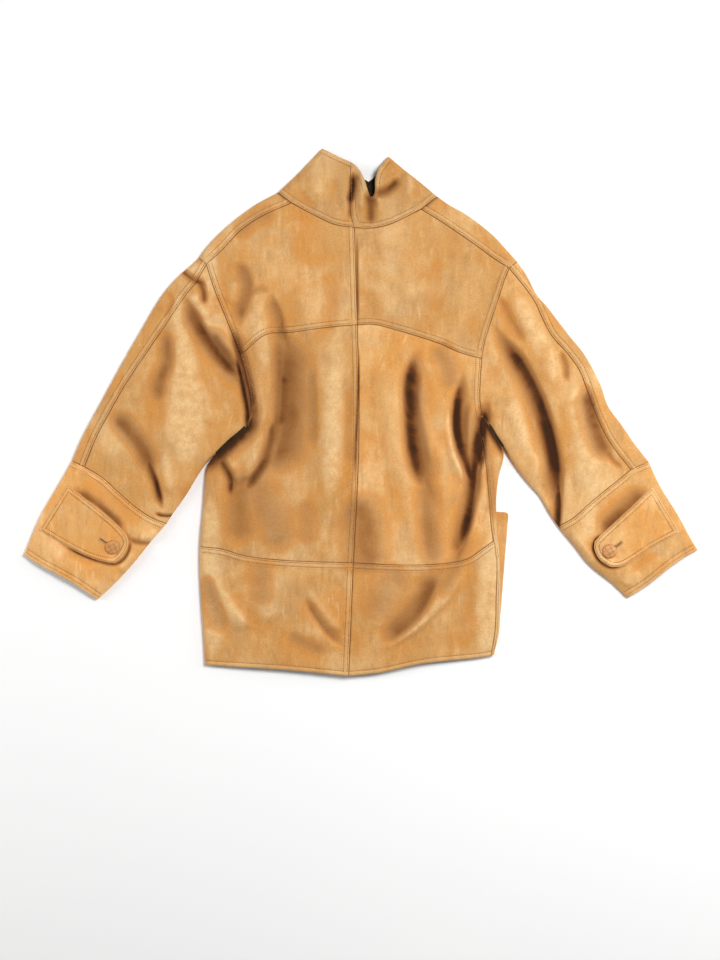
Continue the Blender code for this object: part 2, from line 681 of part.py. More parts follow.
def front(side):
    """A front: the lower layer, and its turns over the shoulder and the side."""
    values, rows = front_rows()
    west_line = front_west(side)
    west = TimedLine(west_line, values)
    direction = 1.0 if side == "right" else -1.0
    start = LAP if side == "right" else LAP + LAP_RAMP
    edge = LINES[side, "shoulder_edge"].marked(LINES[side, "shoulder_seam"].marks)
    neck = LINES[side, "neck_front"]
    neck = part_of(neck, 0.0, 1.0 - start / neck.length)
    north = chain(edge, neck)
    hem = LINES[side, "hem"]
    hem = part_of(hem, 0.0, 1.0 - start / hem.length)
    if side == "right":
        hem = chain(Line([CORNERS[side]["hem"], CORNERS[side]["side_hem"]]), hem)
    across = stations([north], LOWER_SPACING, LOWER_EDGE_LINES, at_start=True)
    grid = coons(hem, north, west, closing_column(direction * start), across, rows)
    underarm_mark = LINES[side, "side"].length / west_line.length
    underarm = index_of(rows, np.interp(underarm_mark, west_line.marks, values))
    neck_column = index_of(across, edge.length / north.length)
    shoulder_row = grid[-1, :neck_column].copy()
    grid = inset(grid, ("west", underarm, None), ("north", neck_column, None))
    grid[-1, :neck_column] = shoulder_row

    # The turn over the shoulder, up to the shoulder seam.
    across_edge = across[:neck_column + 1] / across[neck_column]
    turn = coons(edge, LINES[side, "shoulder_seam"], LINES[side, "shoulder_stub"],
                 LINES[side, "neck_stub"], across_edge, SHOULDER_TURN)
    turn = inset(turn, ("north", *WHOLE), ("west", *WHOLE), ("east", *WHOLE))
    grid[-1, 0], grid[-1, neck_column] = turn[0, 0], turn[0, -1]

    folded = mask(grid, columns=(slice(0, underarm + 1), 0))
    folded[-1, :neck_column + 1] = True
    piece = Piece()
    outer, inner = skins(grid, -1, folded)
    if side == "left":
        outer[:underarm + 1, 0, 2] -= SEAM_GAP / 2.0
        inner[:underarm + 1, 0, 2] -= SEAM_GAP / 2.0
    piece.add(outer, inner)
    outer_turn, inner_turn = skins(turn, +1, mask(turn, rows=0))
    outer_turn[0], inner_turn[0] = outer[-1, :neck_column + 1], inner[-1, :neck_column + 1]
    piece.add(outer_turn, inner_turn)

    # The closing strip, the same points for both fronts, the left one raised.
    places = np.array([-LAP, -LAP / 2.0, 0.0, LAP / 2.0, LAP])
    if side == "left":
        places = np.concatenate([[-start], places])
    strip = np.stack([closing_column(place).at(rows) for place in places], axis=1)
    strip = inset(strip, ("north", *WHOLE))
    raised = np.zeros(strip.shape[:2])
    join = -1 if side == "right" else 0
    strip[:, join] = grid[:, -1]
    if side == "left":
        raised[:, 1:] = WALL + SEAM_GAP
    outer_strip, inner_strip = skins(strip, -1, extra=raised)
    outer_strip[:, join], inner_strip[:, join] = outer[:, -1], inner[:, -1]
    piece.add(outer_strip, inner_strip)

    # The turn over the right side, up to the side seam on the upper layer.
    if side == "right":
        seam = chain(LINES[side, "side_seam_low"], LINES[side, "side_seam_high"])
        seam_share = np.interp(rows[:underarm + 1], values, west_line.marks)
        seam_points = seam.at(seam_share / seam_share[-1])
        share = SIDE_TURN[None, :, None]
        turn = (1.0 - share) * grid[:underarm + 1, :1] + share * seam_points[:, None]
        turn = inset(turn, ("east", 0, underarm))
        turn[-1] = grid[underarm, 0]
        folded = mask(turn, rows=-1)
        folded[:, 0] = True
        outer_turn, inner_turn = skins(turn, +1, folded)
        outer_turn[:, 0], inner_turn[:, 0] = outer[:underarm + 1, 0], inner[:underarm + 1, 0]
        outer_turn[-1], inner_turn[-1] = outer[underarm, 0], inner[underarm, 0]
        piece.add(outer_turn, inner_turn)
    return {f"front_{side}": piece}


def sleeve(side):
    """The sleeve's back and front panels and its cuff, one tube laid flat."""
    line = lines_of(side)
    armhole = chain(line["armhole_high"].reversed(), line["armhole_low"].reversed())
    rows = stations([line["sleeve_seam"], line["sleeve_fold"]], SLEEVE_SPACING)
    half_gap = SEAM_GAP / 2.0

    back_across = stations([armhole], UPPER_SPACING, EDGE_LINES, at_end=True)
    grid = coons(armhole, line["cuff_seam"], line["sleeve_seam"], line["sleeve_fold"],
                 back_across, rows)
    grid = inset(grid, ("south", *WHOLE), ("north", *WHOLE), ("west", *WHOLE))
    back = Piece()
    back.add(*skins(grid, +1, mask(grid, columns=(slice(None), -1)), half_gap))

    turn = coons(line["shoulder_stub"].reversed(), line["cuff_stub"].reversed(),
                 line["sleeve_seam"], line["sleeve_edge"], SLEEVE_TURN, rows)
    turn = inset(turn, ("south", *WHOLE), ("north", *WHOLE), ("west", *WHOLE))
    start = chain(line["shoulder_stub"], armhole)
    end = chain(line["cuff_stub"], line["cuff_seam"])
    across = stations([start], LOWER_SPACING, LOWER_EDGE_LINES, True, True)
    grid = coons(start, TimedLine(end, start.marks), line["sleeve_edge"],
                 line["sleeve_fold"], across, rows)
    grid = inset(grid, ("south", *WHOLE), ("north", *WHOLE))
    grid[:, 0] = turn[:, -1]
    folded = mask(grid, columns=(slice(None), [0, -1]))
    outer, inner = skins(grid, -1, folded)
    outer[:, -1, 2] -= half_gap
    inner[:, -1, 2] -= half_gap
    front_piece = Piece()
    front_piece.add(outer, inner)
    outer_turn, inner_turn = skins(turn, +1, mask(turn, columns=(slice(None), -1)))
    outer_turn[:, -1], inner_turn[:, -1] = outer[:, 0], inner[:, 0]
    front_piece.add(outer_turn, inner_turn)

    rows = stations([line["cuff_edge"], line["cuff_fold"]], SLEEVE_SPACING)
    cuff = Piece()
    upper = coons(end, line["cuff_mouth"], line["cuff_edge"], line["cuff_fold"],
                  stations([end], UPPER_SPACING, EDGE_LINES, True, True), rows)
    lower = coons(end, line["cuff_mouth"], line["cuff_edge"], line["cuff_fold"],
                  stations([end], LOWER_SPACING, LOWER_EDGE_LINES, True, True), rows)
    upper = inset(upper, ("south", *WHOLE))
    lower = inset(lower, ("south", *WHOLE))
    lower[:, 0] = upper[:, 0]
    lower[:, -1] = upper[:, -1]
    folded = mask(lower, columns=(slice(None), [0, -1]))
    outer, inner = skins(lower, -1, folded)
    outer[:, -1, 2] -= half_gap
    inner[:, -1, 2] -= half_gap
    cuff.add(outer, inner)
    folded = mask(upper, columns=(slice(None), [0, -1]))
    outer_top, inner_top = skins(upper, +1, folded)
    outer_top[:, 0], inner_top[:, 0] = outer[:, 0], inner[:, 0]
    outer_top[:, -1, 2] += half_gap
    inner_top[:, -1, 2] += half_gap
    cuff.add(outer_top, inner_top)
    return {f"sleeve_back_{side}": back, f"sleeve_front_{side}": front_piece,
            f"cuff_{side}": cuff}


def collar(side):
    """Half of the stand collar: its back, its fold edge, and its front end below."""
    line = lines_of(side)
    rows = stations([line["collar_edge"]], UPPER_SPACING)
    seam = chain(line["neck_stub"], line["neck"])
    across = stations([seam], COLLAR_SPACING, EDGE_LINES, at_start=True)
    upper = coons(seam, line["collar_top"], line["collar_edge"], LINES["centre", "collar"],
                  across, rows)
    upper = inset(upper, ("south", *WHOLE), ("east", *WHOLE))
    across = stations([line["neck_front"]], LOWER_SPACING, LOWER_EDGE_LINES, at_start=True)
    lower = coons(line["neck_front"], line["collar_front_top"], line["collar_edge"],
                  LINES["centre", "collar_front"], across, rows)
    lower = inset(lower, ("south", *WHOLE), ("east", *WHOLE))
    lower[:, 0] = upper[:, 0]
    piece = Piece()
    outer, inner = skins(lower, -1, mask(lower, columns=(slice(None), 0)))
    piece.add(outer, inner)
    outer_top, inner_top = skins(upper, +1, mask(upper, columns=(slice(None), 0)))
    outer_top[:, 0], inner_top[:, 0] = outer[:, 0], inner[:, 0]
    piece.add(outer_top, inner_top)
    return {f"collar_{side}": piece}


def cuff_tab(side):
    """The tab sewn across a cuff, made from the cuff's own upper skin, moved out."""
    tab = TABS[side]
    upper = smooth([tab["base"][0], *BETWEEN[side]["tab_upper"], tab["end"][0]])
    lower = smooth([tab["base"][1], *BETWEEN[side]["tab_lower"], tab["end"][1]])
    tip = smooth([tab["end"][0], *BETWEEN[side]["tab_end"], tab["end"][1]])
    base = smooth([*tab["base"]])
    grid = coons(base, tip, upper, lower, np.linspace(0.0, 1.0, 6), np.linspace(0.0, 1.0, 9))
    under, _ = skins(grid, +1)
    under[..., 2] += TAB_CLEARANCE
    over = under + np.array([0.0, 0.0, TAB_WALL])
    piece = Piece()
    piece.add(over, under)
    return {f"cuff_tab_{side}": piece}


# --------------------------------------------------------- buttons and pockets

def surface_point(place, layer, beyond):
    """A point off a layer's outer skin, and the skin's outward direction there."""
    step = 6.0
    grid = np.array([[place, place + (step, 0.0)], [place + (0.0, step), place]])
    outer, _ = skins(grid, layer)
    normal = np.cross(outer[0, 1] - outer[0, 0], outer[1, 0] - outer[0, 0]) * layer
    normal /= np.linalg.norm(normal)
    return outer[0, 0] + normal * beyond, normal


def button_profile(height):
    """The shank and low dome of a covered button, from its axis out and back."""
    shank_radius, shank_height = 4.0, 0.8
    back_radius, back_height = BUTTON_RADIUS * 0.8, 1.1
    rim = height * 0.47
    profile = [(0.0, 0.0), (shank_radius, 0.0), (shank_radius, shank_height),
               (back_radius, back_height), (BUTTON_RADIUS, rim)]
    dome_steps = 4
    for step in range(1, dome_steps + 1):
        turn = 0.5 * math.pi * step / dome_steps
        profile.append((BUTTON_RADIUS * math.cos(turn) if step < dome_steps else 0.0,
                        rim + (height - rim) * math.sin(turn)))
    return profile


def button(name, place, normal, tall):
    """A turned button standing on a point of the coat, along the skin's direction."""
    mesh = bpy.data.meshes.new(name)
    points = [(radius * MM, 0.0, height * MM) for radius, height in button_profile(tall)]
    mesh.from_pydata(points, [(i, i + 1) for i in range(len(points) - 1)], [])
    thing = bpy.data.objects.new(name, mesh)
    turned = thing.modifiers.new("turned", "SCREW")
    turned.steps = turned.render_steps = 14
    turned.use_merge_vertices = True
    turned.merge_threshold = 0.00001
    turned.use_normal_calculate = True
    turn = Vector((0.0, 0.0, 1.0)).rotation_difference(Vector(normal))
    thing.matrix_world = Matrix.Translation(Vector(place) * MM) @ turn.to_matrix().to_4x4()
    return thing


def pocket(name, x, y, tilt):
    """A patch pocket's flat wall, with round lower corners, lying on the ground."""
    half_width, half_height = POCKET_SIZE[0] / 2.0, POCKET_SIZE[1] / 2.0
    outline = [(half_width, half_height), (-half_width, half_height)]
    corner_steps = 4
    for way, first_angle in ((-1.0, 180.0), (1.0, 270.0)):
        middle = (way * (half_width - POCKET_CORNER), POCKET_CORNER - half_height)
        for step in range(corner_steps + 1):
            angle = math.radians(first_angle + 90.0 * step / corner_steps)
            outline.append((middle[0] + POCKET_CORNER * math.cos(angle),
                            middle[1] + POCKET_CORNER * math.sin(angle)))
    bm = bmesh.new()
    corners = [bm.verts.new((u * MM, v * MM, 0.0)) for u, v in outline]
    face = bm.faces.new(corners)
    raised = bmesh.ops.extrude_face_region(bm, geom=[face])["geom"]
    tops = [item for item in raised if isinstance(item, bmesh.types.BMVert)]
    bmesh.ops.translate(bm, verts=tops, vec=(0.0, 0.0, WALL * MM))
    bmesh.ops.recalc_face_normals(bm, faces=bm.faces)
    mesh = bpy.data.meshes.new(name)
    bm.to_mesh(mesh)
    bm.free()
    thing = bpy.data.objects.new(name, mesh)
    thing.location = (x * MM, y * MM, 0.0)
    thing.rotation_euler = (0.0, 0.0, math.radians(tilt))
    return thing


# -------------------------------------------------------------------- the coat

def material(name, colour, roughness):
    made = bpy.data.materials.new(name)
    made.use_nodes = True
    shader = made.node_tree.nodes["Principled BSDF"]
    shader.inputs["Base Color"].default_value = COLOURS[colour]
    shader.inputs["Roughness"].default_value = roughness
    shader.inputs["Metallic"].default_value = 0.0
    return made


def clear_scene():
    for thing in list(bpy.data.objects):
        bpy.data.objects.remove(thing, do_unlink=True)


def build_coat():
    clear_scene()
    coat = bpy.data.collections.new(COAT)
    bpy.context.scene.collection.children.link(coat)

    pieces = {}
    for side in ("left", "right"):
        for maker in (upper_body, front, sleeve, collar, cuff_tab):
            pieces.update(maker(side))
    for name, piece in pieces.items():
        thing = bpy.data.objects.new(name, piece.mesh(name))
        shade = "suede_dark" if name.startswith("cuff_tab") else "suede"
        thing.data.materials.append(material(name, shade, 0.92))
        coat.objects.link(thing)

    for side, (x, y, tilt) in POCKETS.items():
        name = f"pocket_{side}"
        thing = pocket(name, x, y, tilt)
        thing.data.materials.append(material(name, "suede", 0.92))
        coat.objects.link(thing)

    buttons = {}
    seat = TAB_CLEARANCE + TAB_WALL + SEAM_GAP
    for side, tab in TABS.items():
        place, normal = surface_point(np.array(tab["button"], float), +1, seat)
        buttons[f"cuff_button_{side}"] = (place, normal, CUFF_BUTTON_HEIGHT)
    for number, (x, y) in enumerate(closing_buttons(), start=1):
        buttons[f"front_button_{number}"] = ((x, y, FRONT_BUTTON_HEIGHT),
                                             (0.0, 0.0, -1.0), FRONT_BUTTON_HEIGHT)
    for name, (place, normal, tall) in buttons.items():
        thing = button(name, place, normal, tall)
        thing.data.materials.append(material(name, "leather", 0.55))
        coat.objects.link(thing)


build_coat()
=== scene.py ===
"""The looks of the suede coat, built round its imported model.

The coat lies on its front with its back up. Plan points are in millimetres, with
+Y towards the collar and -X towards the wearer's left side; meshes are in metres.
The upper layer's height is one function of the place, and so is the lower one's.
"""

import math

import bmesh
import bpy
import numpy as np
from mathutils import Matrix, Vector


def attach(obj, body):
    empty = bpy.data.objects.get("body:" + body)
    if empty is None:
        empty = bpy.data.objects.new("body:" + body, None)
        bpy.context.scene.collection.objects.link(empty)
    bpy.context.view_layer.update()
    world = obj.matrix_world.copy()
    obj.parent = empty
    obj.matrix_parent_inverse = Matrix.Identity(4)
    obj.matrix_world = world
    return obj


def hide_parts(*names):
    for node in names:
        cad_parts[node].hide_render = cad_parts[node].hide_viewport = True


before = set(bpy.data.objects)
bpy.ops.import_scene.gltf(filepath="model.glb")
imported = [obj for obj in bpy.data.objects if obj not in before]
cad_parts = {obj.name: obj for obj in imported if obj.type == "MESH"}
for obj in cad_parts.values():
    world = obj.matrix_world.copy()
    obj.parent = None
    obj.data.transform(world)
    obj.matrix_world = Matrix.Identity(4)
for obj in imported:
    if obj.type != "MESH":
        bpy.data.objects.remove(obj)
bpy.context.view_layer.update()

# The wearer's sides, and which way each lies from the centre along X.
SIDES = {"left": -1, "right": 1}
MM = 0.001
WALL = 2.4
SEAM_GAP = 0.3
HALF_GAP = SEAM_GAP / 2.0

# The rolled fold edges, where the upper layer turns into the lower one.
ROLL_MIDDLE = 7.0
ROLL_REACH_UPPER = 14.0
ROLL_REACH_LOWER = 9.0

# The upper layer's height: low at the edges, a soft dome between them.
EDGE_HEIGHT = 15.0
DOME_HEIGHT = 9.0
DOME_REACH = 70.0
MOUTH_DROP = 5.0
MOUTH_REACH = 40.0
LOWEST_HEIGHT = 8.2
LOWEST_SOFTNESS = 1.2

# Random waves of the upper layer, finer towards the end: height and size in mm, and how
# far they are drawn out across and down the coat. They die down near an edge; their tops
# get a painted highlight and their bottoms painted shade.
WAVES = ((2.2, 62.0, (1.0, 1.7)), (1.2, 30.0, (1.0, 1.3)), (0.35, 12.0, (1.0, 1.0)))
CALM_REACH = 22.0
WAVE_CREST = 6.0
WAVE_HOLLOW = 3.0

# The share of a fold's length over which it fades in and out.
FOLD_FADE = 0.26

# The mark of a full hollow, crest or seam, which the materials read: as painted shade, as a
# painted highlight, and at a seam as worn paleness (+) and painted shade (-).
FULL_MARK = 10.0

# Grid spacing of the two layers, and of points along the curves.
UPPER_STEP = 2.68
LOWER_STEP = 7.0
CURVE_STEP = 3.0
FOLD_STEP = 6.0

# The closing and its buttons, the pockets under the fronts, and the cuff tabs.
LAP = 28.0
LAP_RAMP = 14.0
CLOSING_BUTTONS = (0.16, 0.38, 0.60, 0.82)
BUTTON_RADIUS = 12.5
FRONT_BUTTON_HEIGHT = 5.2
CUFF_BUTTON_HEIGHT = 6.8
LEATHER_STRIP = 8.2
SHANK_RADII = (2.6, 2.2, 2.8)
SHANK_HEIGHTS = (0.02, 0.5, 1.1)
BUTTON_FLAT = 20.0
BUTTON_FADE = 24.0
POCKET_SIZE = (160.0, 205.0)
POCKET_CORNER = 28.0
POCKET_TOP_CORNER = 6.0
POCKET_SPREAD = 30.0
POCKET_FADE = 26.0
TAB_STEP = 2.0
TAB_WALL = 2.6
TAB_CLEARANCE = 0.4
SLIT_LENGTH = 25.0

# Lapped seams: a raised strip along the upper panel's edge, stitched twice. Every seam
# puckers the suede beside it.
STRIP_WIDTH = 10.6
STRIP_RISE = 1.3
SEAM_REACH = 26.0
PUCKER = 0.55
STITCH_ROWS = (2.6, 9.2)
STITCH_PITCH = 3.6
HALF_STITCH = 0.3 * STITCH_PITCH
HEM_ROW = 8.0
CUFF_ROWS = (5.4, 12.4)
TAB_ROWS = (2.4, 8.4)
POCKET_HEM = 24.0

# Corners where seams and edges meet: (x, y) in mm.
NECK_BACK = (-12, 322)
NECK_FRONT = (-8, 275)
COLLAR_SEAM_TOP = (-17, 437)
COLLAR_FRONT_TOP = (14, 404)
YOKE_CENTRE = (-7, 152)
BAND_CENTRE = (-14, -264)
HEM_CENTRE = (-22, -462)
CORNERS = {
    "left": dict(
        hem=(-273, -443), side_hem=(-273, -443), band=(-282, -236),
        underarm=(-200, -24), yoke=(-210, 100), shoulder=(-270, 259),
        shoulder_edge=(-284, 270), neck=(-122, 366), neck_edge=(-145, 385),
        collar=(-68, 462), sleeve_seam_end=(-484, -96), cuff_top=(-506, -86),
        cuff_under=(-341, -196), cuff_out=(-590, -250), cuff_in=(-462, -329)),
    "right": dict(
        hem=(233, -425), side_hem=(228, -427), band=(232, -226),
        underarm=(211, -4), yoke=(210, 93), shoulder=(259, 252),
        shoulder_edge=(273, 264), neck=(105, 355), neck_edge=(133, 378),
        collar=(48, 448), sleeve_seam_end=(472, -101), cuff_top=(504, -87),
        cuff_under=(346, -201), cuff_out=(590, -242), cuff_in=(467, -326)),
}

# What each line passes between its two corners: (x, y) in mm.
BETWEEN = {
    "left": dict(
        side=[(-275, -399), (-281, -312), (-282, -236), (-276, -163),
              (-273, -122), (-268, -92), (-250, -69.5), (-228, -48)],
        armhole_low=[(-192, 4), (-194, 30), (-201, 65)],
        armhole_high=[(-221, 128), (-234, 161), (-254, 210), (-263, 236)],
        shoulder_seam=[(-243, 284), (-212, 317), (-177, 341)],
        shoulder_edge=[(-268, 292), (-233, 327), (-187, 362)],
        neck=[(-77, 342), (-46, 328)],
        neck_front=[(-112, 335), (-62, 292)],
        collar_edge=[(-112, 416), (-88, 441)],
        collar_top=[(-37, 446)],
        collar_front_top=[(-30, 428)],
        yoke_seam=[(-192, 116), (-164, 136), (-116, 140), (-49, 149)],
        band_seam=[(-245, -240), (-203, -252), (-156, -258), (-89, -262)],
        hem=[(-219, -446), (-122, -452)],
        sleeve_seam=[(-290, 226), (-310, 200), (-340, 156), (-367, 116),
                     (-392, 79), (-415, 44), (-441, -2), (-464, -46)],
        sleeve_edge=[(-298, 257), (-318, 240), (-348, 205), (-380, 152),
                     (-420, 82), (-458, 12), (-486, -40)],
        sleeve_fold=[(-228, -49), (-250, -70), (-269, -88), (-285, -110),
                     (-306, -145), (-332, -182)],
        cuff_seam=[(-450, -117), (-425, -140), (-394, -167), (-369, -184)],
        cuff_edge=[(-530, -128), (-560, -180), (-583, -233)],
        cuff_mouth=[(-562, -268), (-530, -285), (-499, -303)],
        cuff_fold=[(-373, -233), (-401, -268), (-434, -303)],
        tab_upper=[(-481, -152), (-452, -175), (-427, -196)],
        tab_lower=[(-516, -233), (-477, -253), (-448, -262)],
        tab_end=[(-406, -229), (-416, -251)],
    ),
    "right": dict(
        side=[(242, -385), (244, -329), (243, -259), (239, -206), (237, -154),
              (242, -110), (249, -84), (249, -63.5), (236.5, -43), (224, -21.5)],
        side_seam_low=[(235, -385), (237, -329), (238, -259)],
        side_seam_high=[(228, -195), (223, -136), (216, -68), (209, -34)],
        armhole_low=[(207, 24), (208, 60)],
        armhole_high=[(214, 117), (222, 145), (240, 200), (251, 233)],
        shoulder_seam=[(231, 270), (205, 289), (175, 310), (150, 327)],
        shoulder_edge=[(248, 292), (231, 310), (186, 345), (156, 362)],
        neck=[(80, 342), (47, 327), (16, 321)],
        neck_front=[(96, 330), (45, 290)],
        collar_edge=[(102, 404), (75, 425)],
        collar_top=[(38, 436), (29, 421), (24.5, 404), (24.5, 391), (23, 381),
                    (18, 376.5), (13, 381), (10.5, 391), (8, 401), (2, 415), (-6, 428)],
        collar_front_top=[(35, 424)],
        yoke_seam=[(173, 104), (136, 120), (70, 141), (21, 153)],
        band_seam=[(208, -243), (187, -257), (147, -265), (77, -268)],
        hem=[(208, -430), (110, -440), (33, -456)],
        sleeve_seam=[(284, 222), (305, 192), (318, 163), (334, 133), (359, 105),
                     (381, 75), (396, 38), (408, 4), (433, -49)],
        sleeve_edge=[(290, 240), (308, 205), (324, 187), (364, 135), (392, 100),
                     (420, 47), (432, 12), (457, -23), (481, -58)],
        sleeve_fold=[(224, -22), (237, -44), (250, -64), (275, -102),
                     (296, -128), (313, -147), (332, -180)],
        cuff_seam=[(454, -116), (426, -138), (401, -159), (374, -184)],
        cuff_edge=[(523, -128), (555, -180), (579, -224)],
        cuff_mouth=[(574, -250), (546, -268), (502, -303)],
        cuff_fold=[(373, -233), (401, -268), (444, -303)],
        tab_upper=[(478, -161), (444, -192), (419, -215)],
        tab_lower=[(513, -234), (478, -257), (454, -270)],
        tab_end=[(407, -238), (416, -257)],
    ),
}

# Each tab's sewn end, its rounded end and its button: (x, y) in mm.
TABS = {
    "left": dict(base=((-513, -128), (-562, -206)), end=((-410, -215), (-430, -264)),
                 button=(-434, -236)),
    "right": dict(base=((509, -131), (557, -211)), end=((408, -226), (436, -271)),
                  button=(434, -243)),
}

# Each pocket's centre in mm, and its tilt in degrees about it.
POCKETS = {"left": (-194, -270, 0.0), "right": (171, -272, -4.6)}
